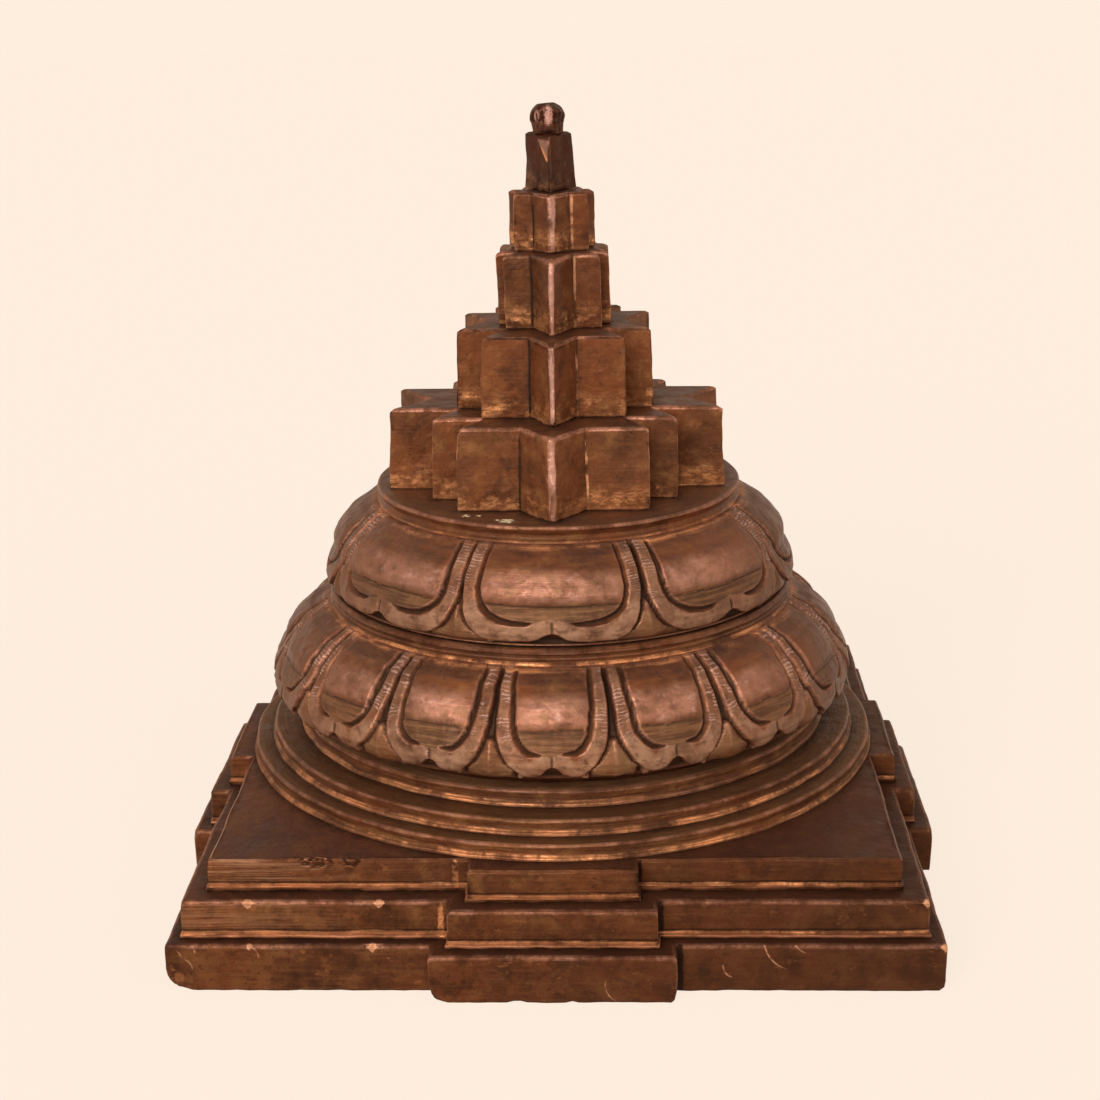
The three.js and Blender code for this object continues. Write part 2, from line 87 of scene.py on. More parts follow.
camera = bpy.data.objects.new("camera", bpy.data.cameras.new("camera"))
bpy.context.scene.collection.objects.link(camera)
bpy.context.scene.camera = camera
camera.data.sensor_width = SENSOR_WIDTH
camera.data.lens = SENSOR_WIDTH * FOCAL_PIXELS / IMAGE_PIXELS
camera.data.clip_start = 0.01
aim = Matrix.Rotation(-CAMERA_YAW, 4, "Z") @ Matrix.Rotation(math.pi / 2 + CAMERA_PITCH, 4, "X")
camera.matrix_world = Matrix.Translation(CAMERA_PLACE) @ aim @ Matrix.Rotation(CAMERA_ROLL, 4, "Z")
print("lens, mm:", round(camera.data.lens, 1))

# %% [markdown]
# ## Reading a carving
# A carver works along lines, so the carving here is said as lines of a few points and a depth that
# falls away from them. Distances to such lines are worked out for all points of a piece at once.

# %% Distances to a carved line
def line_distance(points, x, y):
    """Distance to a line of points, how far along its nearest point is, and on which side."""
    nearest = np.full(x.shape, 1e9)
    along = np.zeros(x.shape)
    side = np.ones(x.shape)
    run = 0.0
    for (ax, ay), (bx, by) in zip(points[:-1], points[1:]):
        length = math.hypot(bx - ax, by - ay)
        t = np.clip(((x - ax) * (bx - ax) + (y - ay) * (by - ay)) / length**2, 0, 1)
        distance = np.hypot(x - ax - t * (bx - ax), y - ay - t * (by - ay))
        turned = (bx - ax) * (y - ay) - (by - ay) * (x - ax)
        closer = distance < nearest - 1e-9
        side = np.where(closer, np.sign(turned), side)
        along = np.where(closer, run + t * length, along)
        nearest = np.where(closer, distance, nearest)
        run += length
    return nearest, along / run, side


def smooth(value, low, high):
    """0 below low, 1 above high and an even curve between."""
    t = np.clip((value - low) / np.maximum(high - low, 1e-6), 0, 1)
    return t * t * (3 - 2 * t)


def wander(points, size, seed):
    """One smooth random number between about -1 and 1 for each point."""
    shift = Vector((seed * 17.3, seed * 5.1, seed * 9.7))
    return np.array([noise.noise(Vector(p) / size + shift) for p in points])


def read_off(pairs, place):
    xs, ys = zip(*pairs)
    return np.interp(place, xs, ys)


# %% [markdown]
# ## From mesh to piece
# Every piece ends the same way: its relief is measured, so that the finish can find the edges that
# hands have polished and the corners where dirt stays, and then it rides on the body and stands
# for its casting in the frame.

# %% Reading and writing points
def read_points(mesh):
    points = np.zeros(len(mesh.vertices) * 3, np.float32)
    mesh.vertices.foreach_get("co", points)
    return points.reshape(-1, 3).astype(float)


def read_edges(mesh):
    edges = np.zeros(len(mesh.edges) * 2, np.int32)
    mesh.edges.foreach_get("vertices", edges)
    return edges.reshape(-1, 2)


def read_normals(mesh):
    normals = np.zeros(len(mesh.vertices) * 3, np.float32)
    mesh.vertex_normals.foreach_get("vector", normals)
    return normals.reshape(-1, 3).astype(float)


def write_attribute(mesh, name, values):
    attribute = mesh.attributes.get(name) or mesh.attributes.new(name, "FLOAT", "POINT")
    attribute.data.foreach_set("value", np.asarray(values, np.float32))


# %% Measuring relief
CREST_SLOPE = 0.16
HOLLOW_SLOPE = 0.16
JOINT_REACH = 5.0 * MM


def neighbour_sum(values, edges, count):
    total = np.bincount(edges[:, 0], weights=values[edges[:, 1]], minlength=count)
    return total + np.bincount(edges[:, 1], weights=values[edges[:, 0]], minlength=count)


def relief(mesh, spread):
    """How far each point stands out of its neighbours, or lies in them, as a slope."""
    points, edges, normals = read_points(mesh), read_edges(mesh), read_normals(mesh)
    count = len(points)
    degree = np.maximum(neighbour_sum(np.ones(count), edges, count), 1)
    lengths = np.linalg.norm(points[edges[:, 0]] - points[edges[:, 1]], axis=1)
    reach = np.bincount(edges[:, 0], lengths, count) + np.bincount(edges[:, 1], lengths, count)
    reach = np.maximum(reach / degree, 1e-6)
    mean = np.stack([neighbour_sum(points[:, k], edges, count) / degree for k in range(3)], axis=1)
    slope = np.einsum("ij,ij->i", points - mean, normals) / reach
    for _ in range(spread):
        slope = 0.5 * slope + 0.5 * neighbour_sum(slope, edges, count) / degree
    return slope


def joint_shade(mesh, above):
    """Painted shade in the joint: 1 where the casting above, which stands on this piece, touches it,
    0 a little away from it.
    """
    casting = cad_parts[above].data
    corners = [v.co for v in casting.vertices]
    tree = BVHTree.FromPolygons(corners, [p.vertices[:] for p in casting.polygons])
    joint_shading = np.zeros(len(mesh.vertices))
    normals = read_normals(mesh)
    for i in np.flatnonzero(normals[:, 2] > 0.5):
        away = tree.find_nearest(mesh.vertices[i].co, JOINT_REACH)[3]
        if away is not None:
            joint_shading[i] = 1 - away / JOINT_REACH
    return joint_shading


def finish_piece(name, bm, material, node, spread=2, above=None):
    """Turns a bmesh into a piece: smooth shaded, measured, dressed, and standing for its casting."""
    mesh = bpy.data.meshes.new(name)
    bm.to_mesh(mesh)
    bm.free()
    mesh.shade_smooth()
    slope = relief(mesh, spread)
    none = np.zeros(len(mesh.vertices))
    write_attribute(mesh, "crest", np.clip(slope / CREST_SLOPE, 0, 1))
    write_attribute(mesh, "hollow", np.clip(-slope / HOLLOW_SLOPE, 0, 1))
    write_attribute(mesh, "upward", smooth(read_normals(mesh)[:, 2], 0.75, 0.97))
    if "edge" not in mesh.attributes:
        write_attribute(mesh, "edge", none)
    # joint: painted shade on treads next to the casting that stands on them.
    write_attribute(mesh, "joint", joint_shade(mesh, above) if above else none)
    mesh.materials.append(material)
    piece = bpy.data.objects.new(name, mesh)
    bpy.context.scene.collection.objects.link(piece)
    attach(piece, "root")
    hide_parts(node)
    print(name, "-", len(mesh.polygons), "faces")
    return piece


# %% [markdown]
# ## A kit for finishes
# A finish is a graph of nodes. This short kit keeps the recipes readable: sizes are in millimetres
# on the piece, read from Object coordinates, and each call adds a node or two. The colour is built
# up as a painter would, coat over coat: lay puts one more colour over what is there.

# %% Kit for finishes
UPRIGHT_LINE = (1, 1, 0)


class Finish:
    def __init__(self, name, turned=False):
        self.material = bpy.data.materials.new(name)
        self.material.use_nodes = True
        self.nodes = self.material.node_tree.nodes
        self.links = self.material.node_tree.links
        self.shader = self.nodes["Principled BSDF"]
        place = self.nodes.new("ShaderNodeTexCoord").outputs["Object"]
        self.place = self.scaled(place, (1 / MM,) * 3)
        split = self.nodes.new("ShaderNodeSeparateXYZ")
        self.links.new(self.place, split.inputs[0])
        self.x, self.y, self.z = split.outputs
        self.grain = self.place
        if turned:
            join = self.nodes.new("ShaderNodeCombineXYZ")
            slanted = (self.x, self.y, self.math("ADD", self.z, self.hypot(self.x, self.y)))
            for value, socket in zip(slanted, join.inputs):
                self.put(value, socket)
            self.grain = join.outputs[0]

    def put(self, value, socket):
        if isinstance(value, bpy.types.NodeSocket):
            self.links.new(value, socket)
        else:
            socket.default_value = value

    def scaled(self, place, sizes, shift=(0, 0, 0)):
        node = self.nodes.new("ShaderNodeVectorMath")
        node.operation = "MULTIPLY_ADD"
        for value, socket in zip((place, sizes, shift), node.inputs):
            self.put(value, socket)
        return node.outputs["Vector"]

    def math(self, operation, a, b=0.0, c=0.0):
        node = self.nodes.new("ShaderNodeMath")
        node.operation = operation
        for value, socket in zip((a, b, c), node.inputs):
            self.put(value, socket)
        return node.outputs[0]

    def times(self, *values):
        total = values[0]
        for value in values[1:]:
            total = self.math("MULTIPLY", total, value)
        return total

    def plus(self, a, factor, rest):
        """a times a factor, plus the rest."""
        return self.math("MULTIPLY_ADD", a, factor, rest)

    def minus(self, a, b):
        return self.math("SUBTRACT", a, b)

    def most(self, a, b):
        return self.math("MAXIMUM", a, b)

    def apart(self, a, b):
        """How far apart two values are."""
        return self.math("ABSOLUTE", self.minus(a, b))

    def without(self, a, share):
        """a, faded out where share nears 1."""
        return self.times(a, self.minus(1.0, share))

    def hypot(self, a, b):
        return self.math("SQRT", self.plus(a, a, self.times(b, b)))

    def ramp(self, value, low, high, to_low=0.0, to_high=1.0):
        node = self.nodes.new("ShaderNodeMapRange")
        node.interpolation_type = "SMOOTHSTEP"
        for v, socket in zip((value, low, high, to_low, to_high), node.inputs):
            self.put(v, socket)
        return node.outputs[0]

    def noise(self, size, detail=4.0, rough=0.5, squeeze=(1, 1, 1), shift=0.0):
        """Noise with clouds about size millimetres across; squeeze makes it finer along an axis."""
        node = self.nodes.new("ShaderNodeTexNoise")
        place = self.scaled(self.grain, squeeze, (shift, shift * 0.7, shift * 1.3))
        self.put(place, node.inputs["Vector"])
        self.put(1 / size, node.inputs["Scale"])
        self.put(detail, node.inputs["Detail"])
        self.put(rough, node.inputs["Roughness"])
        return node.outputs["Fac"]

    def mix(self, share, a, b, blend="MIX"):
        node = self.nodes.new("ShaderNodeMix")
        node.data_type = "RGBA"
        node.blend_type = blend
        self.put(share, node.inputs["Factor"])
        self.put((*a, 1.0) if isinstance(a, tuple) else a, node.inputs["A"])
        self.put((*b, 1.0) if isinstance(b, tuple) else b, node.inputs["B"])
        return node.outputs["Result"]

    def lay(self, colour, *shares):
        """Lays a colour over the coats so far. The shares, multiplied, say how densely."""
        self.colour = self.mix(self.times(*shares), self.colour, colour)

    def polish(self, share):
        """Where share is 1, the metal is bare and shines."""
        self.shine = self.most(self.shine, share)

    def attribute(self, name):
        node = self.nodes.new("ShaderNodeAttribute")
        node.attribute_name = name
        return node.outputs["Fac"]

    def spot(self, place, radius, ragged, squeeze=(1, 1, 1)):
        """1 near one place on the piece, with a ragged border; a zero in squeeze makes it a line."""
        node = self.nodes.new("ShaderNodeVectorMath")
        node.operation = "DISTANCE"
        self.put(self.scaled(self.place, squeeze), node.inputs[0])
        self.put(tuple(p * s for p, s in zip(place, squeeze)), node.inputs[1])
        distance = self.plus(self.minus(ragged, 0.5), radius, node.outputs["Value"])
        return self.ramp(self.math("DIVIDE", distance, radius), 1.0, 0.55)

    def bump(self, height, distance, normal=None):
        node = self.nodes.new("ShaderNodeBump")
        self.put(distance * MM, node.inputs["Distance"])
        self.put(height, node.inputs["Height"])
        if normal is not None:
            self.put(normal, node.inputs["Normal"])
        return node.outputs["Normal"]


# %% [markdown]
# ## The patina
# Old copper darkens to umber and red brown, unevenly, with ochre where the metal was heated. The
# level treads take a colour of their own as painted light and shade, mostly a darker plum. Hands and
# cloth keep edges bare and pinkish, and the rose on the swells is partly such polish and partly a
# painted highlight. At the foot of each piece the last filing left bright copper. Brush and file
# marks lie level on every upright face. The dull layer is mostly an oxide, so it is only a little
# metallic; bare copper is.
# One recipe serves every casting, and a piece adds its own marks through a function, extra.

# %% Colours of the patina
UMBER = (0.050, 0.0170, 0.0080)
BROWN = (0.122, 0.0400, 0.0160)
RUSSET = (0.185, 0.0530, 0.0180)
OCHRE = (0.270, 0.1150, 0.0380)
OCHRE_ROSE = (0.390, 0.1900, 0.1000)
OLIVE = (0.200, 0.1060, 0.0500)
WARM_BROWN = (0.225, 0.0830, 0.0290)
# Plum is the default tread colour: a painted shade on faces that look up.
PLUM = (0.066, 0.0290, 0.0220)
ROSE = (0.460, 0.2150, 0.1480)
BRIGHT = (0.800, 0.3300, 0.1400)
COPPER_BROWN = (0.340, 0.1250, 0.0480)
GILT = (0.95, 0.80, 0.50)
SOOT = (0.013, 0.0060, 0.0040)
WARM_SHEEN = (1.0, 0.72, 0.52, 1.0)


# %% Noises and dull coats
def shared_noises(f, seed):
    f.cloud = f.noise(44, detail=3, shift=seed + 11)
    f.mottle = f.noise(10, detail=6, rough=0.62, shift=seed + 23)
    f.smudge = f.noise(19, detail=4, rough=0.6, shift=seed + 87)
    f.speck = f.noise(2.4, detail=5, rough=0.65, shift=seed + 5)
    f.grit = f.noise(0.9, detail=3, rough=0.6, shift=seed + 55)
    f.brush = f.noise(28, detail=6, rough=0.66, squeeze=(1, 1, 18), shift=seed + 3)
    f.fine = f.noise(50, detail=5, rough=0.72, squeeze=(1, 1, 70), shift=seed + 31)


def stains(f, blotch, seed):
    """Uneven warm and dark stains. blotch, from 0 to 1, says how strong they are."""
    stain = f.noise(17, detail=7, rough=0.68, shift=seed + 140)
    dab = f.noise(9, detail=5, rough=0.7, squeeze=(1, 1, 1.7), shift=seed + 170)
    f.lay(WARM_BROWN, f.ramp(stain, 0.52, 0.60, 0, 0.65 * blotch))
    f.lay(UMBER, f.ramp(stain, 0.49, 0.36, 0, 0.75 * blotch))
    f.lay(COPPER_BROWN, f.ramp(dab, 0.60, 0.66, 0, 0.75 * blotch))
    f.lay(UMBER, f.ramp(dab, 0.43, 0.31, 0, 0.65 * blotch))


def dull_coats(f, strokes, tone, tread_shading, blotch, turned, seed):
    """Brown in clouds, brush marks and stains, the treads in painted light and shade, soot in the pits,
    and painted shade in the joints.
    """
    f.colour = f.mix(f.ramp(f.cloud, 0.38, 0.62), BROWN, RUSSET)
    f.lay(OCHRE, f.ramp(f.mottle, 0.50, 0.74, 0, 0.8))
    f.lay(UMBER, f.ramp(f.mottle, 0.47, 0.30, 0, 0.75))
    f.lay(UMBER, f.ramp(f.smudge, 0.44, 0.28, 0, 0.7))
    f.lay(OCHRE, f.ramp(f.brush, 0.50, 0.70), strokes)
    f.lay(UMBER, f.ramp(f.brush, 0.48, 0.30), strokes)
    if blotch:
        stains(f, blotch, seed)
    if turned:
        f.lay(UMBER, f.ramp(f.fine, 0.46, 0.38, 0, 0.6))
    # Painted light and shade: faces that look up take the tread colour, mostly a darker one.
    f.lay(tread_shading, f.upward, f.ramp(f.smudge, 0.25, 0.6, 0.9, 0.5))
    f.colour = f.mix(1.0, f.colour, tone, "MULTIPLY")
    f.lay(SOOT, f.ramp(f.speck, 0.37, 0.28, 0, 0.7))
    f.lay(SOOT, f.ramp(f.grit, 0.40, 0.30, 0, 0.5))
    f.lay(OCHRE, f.ramp(f.grit, 0.66, 0.74, 0, 0.5))
    # Painted shade: treads go dark next to the casting that stands on them.
    f.lay(SOOT, f.attribute("joint"), f.upward, f.ramp(f.speck, 0.3, 0.6, 0.95, 0.6))


# %% Bare copper
def rubbed_edges(f, bare_from, edge_share):
    """Crests and marked edges that hands have rubbed bare, in patches."""
    patchy = f.ramp(f.mottle, 0.30, 0.56, 0.45, 1.25)
    crests = f.ramp(f.times(f.crest, patchy), bare_from, bare_from + 0.7)
    edge = f.ramp(f.attribute("edge"), 0.86, 1.0, 0, edge_share)
    edge = f.times(edge, f.ramp(f.mottle, 0.42, 0.58, 0.15, 1.0))
    f.worn = f.most(f.times(crests, 0.7), edge)
    f.worn = f.times(f.worn, f.ramp(f.speck, 0.34, 0.54, 0.3, 1.0))
    f.shine = f.worn


def bright_foot(f, foot, foot_size, seed):
    """The broken bright line that the last filing left at the foot of a piece, mostly in front."""
    waver = f.plus(f.noise(23, detail=3, shift=seed + 61), 2.0, -1.0)
    line = f.ramp(f.apart(f.z, f.math("ADD", waver, foot / MM)), foot_size, foot_size * 0.2)
    broken = f.ramp(f.noise(18, detail=6, rough=0.75, shift=seed + 71), 0.41, 0.62)
    streaks = f.ramp(f.fine, 0.42, 0.58, 0.15, 1.0)
    front = f.ramp(f.y, 40.0, -115.0, 0.15, 0.95)
    bright = f.times(line, broken, streaks, front)
    f.lay(BRIGHT, bright)
    f.polish(f.times(bright, 0.8))


# %% Sheen and relief
def sheen(f, gloss):
    """Bare copper is smooth metal, pits and treads are rougher, and the oxide has a warm sheen."""
    rough = f.ramp(f.mottle, 0.3, 0.7, 0.34, 0.52)
    rough = f.plus(f.hollow, 0.2, rough)
    rough = f.plus(f.upward, 0.12, rough)
    f.put(f.plus(f.shine, -0.08, rough), f.shader.inputs["Roughness"])
    f.put(f.ramp(f.shine, 0, 1, 0.22, 0.9), f.shader.inputs["Metallic"])
    f.put(WARM_SHEEN, f.shader.inputs["Specular Tint"])
    f.put(gloss, f.shader.inputs["Specular IOR Level"])


def small_relief(f, strokes, seed):
    """Strokes, specks and cuts too small for the mesh, over a slow waviness."""
    height = f.plus(f.speck, 0.55, f.times(f.grit, 0.12))
    height = f.plus(f.fine, 0.5 * strokes + 0.15, height)
    height = f.plus(f.brush, strokes, height)
    height = f.plus(f.cuts, -0.3, height)
    waviness = f.noise(7, detail=2, shift=seed + 41)
    f.put(f.bump(waviness, 0.8, f.bump(height, 0.45)), f.shader.inputs["Normal"])


# %% Patina recipe
def patina(
    name, foot=None, strokes=0.5, foot_size=1.5, rose_share=0.8, tone=(1, 1, 1), tread_shading=PLUM,
    blotch=0.0, edge_share=0.8, bare_from=0.15, gloss=0.30, turned=False, seed=0.0, extra=None,
):
    """The finish of one piece. foot is the height of its bright line; extra adds its own marks."""
    f = Finish(name, turned)
    f.crest, f.hollow, f.upward = [f.attribute(label) for label in ("crest", "hollow", "upward")]
    f.cuts = 0.0
    f.gilt = 0.0
    shared_noises(f, seed)
    dull_coats(f, strokes, tone, tread_shading, blotch, turned, seed)
    rubbed_edges(f, bare_from, edge_share)
    if extra:
        extra(f)
    f.lay(ROSE, f.worn, rose_share)
    f.lay(SOOT, f.hollow, 0.85)
    f.lay(GILT, f.gilt)
    if foot is not None:
        bright_foot(f, foot, foot_size, seed)
    f.put(f.colour, f.shader.inputs["Base Color"])
    sheen(f, gloss)
    small_relief(f, strokes, seed)
    return f.material


# %% [markdown]
# ## Turned rings
# Girdles, band and crown were turned, so each is one closed outline spun about the axis. Corners
# are rounded a little in the outline, because a knife edge catches no light.

# %% Spinning an outline
ARCS = 16
CORNER_POINTS = 3


def rounded(corners, setback):
    """The outline with each corner replaced by a short curve."""
    outline = []
    count = len(corners)
    for i, corner in enumerate(corners):
        here = Vector(corner)
        before = Vector(corners[i - 1]) - here
        after = Vector(corners[(i + 1) % count]) - here
        cut = min(setback, before.length / 2.2, after.length / 2.2)
        start = here + before.normalized() * cut
        end = here + after.normalized() * cut
        for k in range(CORNER_POINTS):
            t = k / (CORNER_POINTS - 1)
            outline.append((1 - t) ** 2 * start + 2 * t * (1 - t) * here + t * t * end)
    return outline


def spun(outline, columns, longest=math.inf):
    """A closed ring: the outline, its long runs cut to at most longest, spun about Z.

    One arc is spun and then doubled until it closes, which is much quicker than one long spin.
    """
    bm = bmesh.new()
    verts = [bm.verts.new((r, 0, z)) for r, z in outline]
    edges = [bm.edges.new((verts[i - 1], verts[i])) for i in range(len(verts))]
    for edge in edges:
        cuts = int(edge.calc_length() / longest)
        if cuts:
            bmesh.ops.subdivide_edges(bm, edges=[edge], cuts=cuts)
    arc = 2 * math.pi / ARCS
    bmesh.ops.spin(
        bm, geom=bm.verts[:] + bm.edges[:], cent=(0, 0, 0), axis=(0, 0, 1),
        angle=arc, steps=columns // ARCS, use_merge=False, use_normal_flip=False,
    )
    while arc < 2 * math.pi - 0.01:
        copy = bmesh.ops.duplicate(bm, geom=bm.verts[:] + bm.edges[:] + bm.faces[:])["geom"]
        copied = [e for e in copy if isinstance(e, bmesh.types.BMVert)]
        bmesh.ops.rotate(bm, verts=copied, cent=(0, 0, 0), matrix=Matrix.Rotation(arc, 3, "Z"))
        arc *= 2
    bmesh.ops.remove_doubles(bm, verts=bm.verts[:], dist=0.003 * MM)
    bmesh.ops.recalc_face_normals(bm, faces=bm.faces[:])
    return bm


UPWARD_SHARE = 0.3


def shake(bm, amount, size, seed):
    """Moves points a little, mostly sideways, as casting and filing by hand leave them."""
    points = [v.co.copy() for v in bm.verts]
    sideways = wander(points, size, seed)
    across = wander(points, size, seed + 1)
    upward = wander(points, size * 1.4, seed + 2)
    for v, dx, dy, dz in zip(bm.verts, sideways, across, upward):
        v.co += Vector((dx, dy, dz * UPWARD_SHARE)) * amount


# %% Girdle rings
RING_COLUMNS = 720
RING_RUN = 1.6 * MM
GIRDLE_BORE = 98.0 * MM
TOE_REACH = 1.0 * MM
TOE_HEIGHT = 1.4 * MM
EDGE_SETBACK = 0.9 * MM
GIRDLE_TONE = (0.88, 0.87, 0.85)
# Tread colours: painted light and shade; the lighter one, under the petals, lifts their shadow.
GIRDLE_TREAD = (0.125, 0.0600, 0.0270)
UPPER_TREAD_LIGHT = (0.340, 0.1750, 0.0880)
GIRDLES = ("girdle_lower_ring", "girdle_middle_ring", "girdle_upper_ring")


def girdle_outline(node):
    low, top, reach = low_of(node), top_of(node), reach_of(node)
    wall = reach - TOE_REACH
    return rounded(
        [
            (GIRDLE_BORE, low),
            (reach, low),
            (reach - 0.1 * MM, low + TOE_HEIGHT),
            (wall, low + TOE_HEIGHT + 0.2 * MM),
            (wall - 0.5 * MM, (low + top) / 2),
            (wall - 0.1 * MM, top - EDGE_SETBACK),
            (wall - EDGE_SETBACK, top),
            (GIRDLE_BORE, top),
        ],
        0.35 * MM,
    )


def mark_rim(piece, radius, top):
    """Marks the chamfered rim of a turned piece as an edge that hands have rubbed."""
    points = read_points(piece.data)
    chamfer = [(radius, top - EDGE_SETBACK), (radius - EDGE_SETBACK, top)]
    away, _, _ = line_distance(chamfer, np.hypot(points[:, 0], points[:, 1]), points[:, 2])
    write_attribute(piece.data, "edge", 1 - smooth(away, 0.45 * MM, 0.9 * MM))


for seed, (node, above) in enumerate(zip(GIRDLES, (*GIRDLES[1:], None))):
    ring = spun(girdle_outline(node), RING_COLUMNS, RING_RUN)
    shake(ring, 0.4 * MM, 15 * MM, seed * 3 + 40)
    finish = patina(
        node + "_patina", foot=low_of(node) + 1.3 * MM, strokes=0.9, foot_size=1.6, edge_share=0.4,
        gloss=0.22, tone=GIRDLE_TONE, tread_shading=GIRDLE_TREAD if above else UPPER_TREAD_LIGHT, turned=True,
        seed=seed * 7.0,
    )
    piece = finish_piece(node + "_turned", ring, finish, node, above=above)
    mark_rim(piece, reach_of(node) - TOE_REACH - 0.1 * MM, top_of(node))

# %% Foot band
BAND_BORE = 80.0 * MM
BAND_TONE = (0.70, 0.70, 0.74)
band_low, band_top = low_of("lotus_foot_band"), top_of("lotus_foot_band")
band_reach = reach_of("lotus_foot_band")
band_middle = (band_low + band_top) / 2 + 0.4 * MM
band = spun(
    rounded(
        [
            (BAND_BORE, band_low),
            (band_reach, band_low),
            (band_reach - 0.5 * MM, band_low + 0.9 * MM),
            (band_reach - 1.1 * MM, band_low + 1.5 * MM),
            (band_reach - 0.8 * MM, band_middle - 0.9 * MM),
            (band_reach - 1.9 * MM, band_middle - 0.1 * MM),
            (band_reach - 1.7 * MM, band_middle + 0.3 * MM),
            (band_reach - 0.7 * MM, band_middle + 0.8 * MM),
            (band_reach - 0.9 * MM, band_top - 0.9 * MM),
            (band_reach - 1.8 * MM, band_top),
            (BAND_BORE, band_top),
        ],
        0.3 * MM,
    ),
    RING_COLUMNS,
    RING_RUN,
)
shake(band, 0.3 * MM, 12 * MM, 60)
band_finish = patina(
    "band_patina", foot=band_low + 0.6 * MM, strokes=0.9, foot_size=1.4, tone=BAND_TONE,
    tread_shading=GIRDLE_TREAD, turned=True, edge_share=0.4, gloss=0.2, seed=31.0,
)
finish_piece("lotus_foot_band_turned", band, band_finish, "lotus_foot_band", above="lotus_eight_petals")

# %% Crown
ROD_BORE = 3.3 * MM
SPIGOT_OUTER = 61.7 * MM
SPIGOT_INNER = 55.7 * MM
# Tread colour of the crown: a painted shade.
CROWN_TREAD = (0.085, 0.040, 0.024)
CROWN_FLECKS = ((-35.4, -61.0, 2.2), (-30.1, -61.1, 1.6), (-22.4, -66.8, 1.6), (-18.4, -68.5, 3.6))
crown_low, crown_top = low_of("crown_disc"), top_of("crown_disc")
crown_seat = top_of("lotus_eight_petals")
crown_reach = reach_of("crown_disc")
crown = spun(
    rounded(
        [
            (ROD_BORE, crown_seat),
            (SPIGOT_INNER, crown_seat),
            (SPIGOT_INNER, crown_low),
            (SPIGOT_OUTER, crown_low),
            (SPIGOT_OUTER, crown_seat),
            (crown_reach, crown_seat),
            (crown_reach - 0.3 * MM, crown_seat + 0.9 * MM),
            (crown_reach - 1.6 * MM, crown_seat + 1.7 * MM),
            (crown_reach - 1.9 * MM, crown_seat + 3.2 * MM),
            (crown_reach - 0.6 * MM, crown_top - 2.0 * MM),
            (crown_reach, crown_top - 1.2 * MM),
            (crown_reach - 0.7 * MM, crown_top),
            (ROD_BORE, crown_top),
        ],
        0.35 * MM,
    ),
    RING_COLUMNS // 2,
    RING_RUN,
)


def crown_flecks(f):
    """A few specks of old gilding left on the crown in front of the lowest star."""
    for x, y, size in CROWN_FLECKS:
        f.gilt = f.most(f.gilt, f.spot((x, y, crown_top / MM), size, f.noise(1.6, detail=3)))
    f.gilt = f.times(f.gilt, f.ramp(f.noise(1.3, detail=2, shift=9.0), 0.44, 0.50))


shake(crown, 0.3 * MM, 12 * MM, 64)
crown_finish = patina(
    "crown_patina", foot=crown_seat + 0.4 * MM, strokes=0.5, foot_size=1.3, tread_shading=CROWN_TREAD,
    turned=True, edge_share=0.5, seed=47.0, extra=crown_flecks,
)
piece = finish_piece(
    "crown_disc_turned", crown, crown_finish, "crown_disc", above="star_fourteen_corners",
)
mark_rim(piece, crown_reach, crown_top)

# %% [markdown]
# ## Lotus petals
# Each ring was cast as a plain swelling ring and then carved with chisels: a double-lobed petal
# with a rim, a groove that curls in under a swelling field, and the tip of a hidden petal between
# each two. Here the plain ring is spun with about a thousand columns, and one rule says how deep
# the chisel went at each point. The lines are shares of half a petal's pitch and of its height.

# %% Lines of one petal
EIGHT_EDGE = [
    (0, 0.12), (0.05, 0.105), (0.13, 0.04), (0.24, 0.0), (0.46, -0.012), (0.64, 0.005),
    (0.77, 0.08), (0.86, 0.2), (0.92, 0.34), (0.955, 0.46), (0.968, 0.6), (0.968, 0.78), (0.965, 1.03),
]
EIGHT_GROOVE = [
    (0.795, 1.03), (0.805, 0.62), (0.79, 0.5), (0.75, 0.40), (0.66, 0.315), (0.54, 0.25),
    (0.40, 0.222), (0.28, 0.228), (0.19, 0.25),
]
EIGHT_GROOVE_WIDTH = [(0, 2.8), (0.5, 2.8), (0.64, 2.7), (0.8, 2.7), (0.92, 2.2), (1, 0.9)]
SIXTEEN_EDGE = [
    (0, 0.145), (0.07, 0.125), (0.16, 0.05), (0.27, 0.015), (0.42, 0.02), (0.56, 0.07),
    (0.68, 0.15), (0.77, 0.24), (0.85, 0.35), (0.895, 0.44), (0.925, 0.56), (0.938, 0.78), (0.94, 1.03),
]
SIXTEEN_GROOVE = [
    (0.72, 1.03), (0.69, 0.72), (0.66, 0.54), (0.615, 0.44), (0.51, 0.35), (0.38, 0.288), (0.18, 0.275),
]
SIXTEEN_GROOVE_WIDTH = [(0, 3.0), (0.6, 2.8), (0.74, 2.6), (0.88, 2.5), (1, 1.2)]
CHISEL_DEPTH = 3.5
GROOVE_DEPTH = 2.0
STEEP_SHARE = 0.2
CURL_STEEP_SHARE = 0.32
CLEFT_WIDTH = 0.55
CLEFT_DEPTH = 0.7
LOBE_SHARE = 0.46
TIP_CLEARANCE = 0.9
TIP_RIDGE = 3.3
TIP_FALL = 1.5


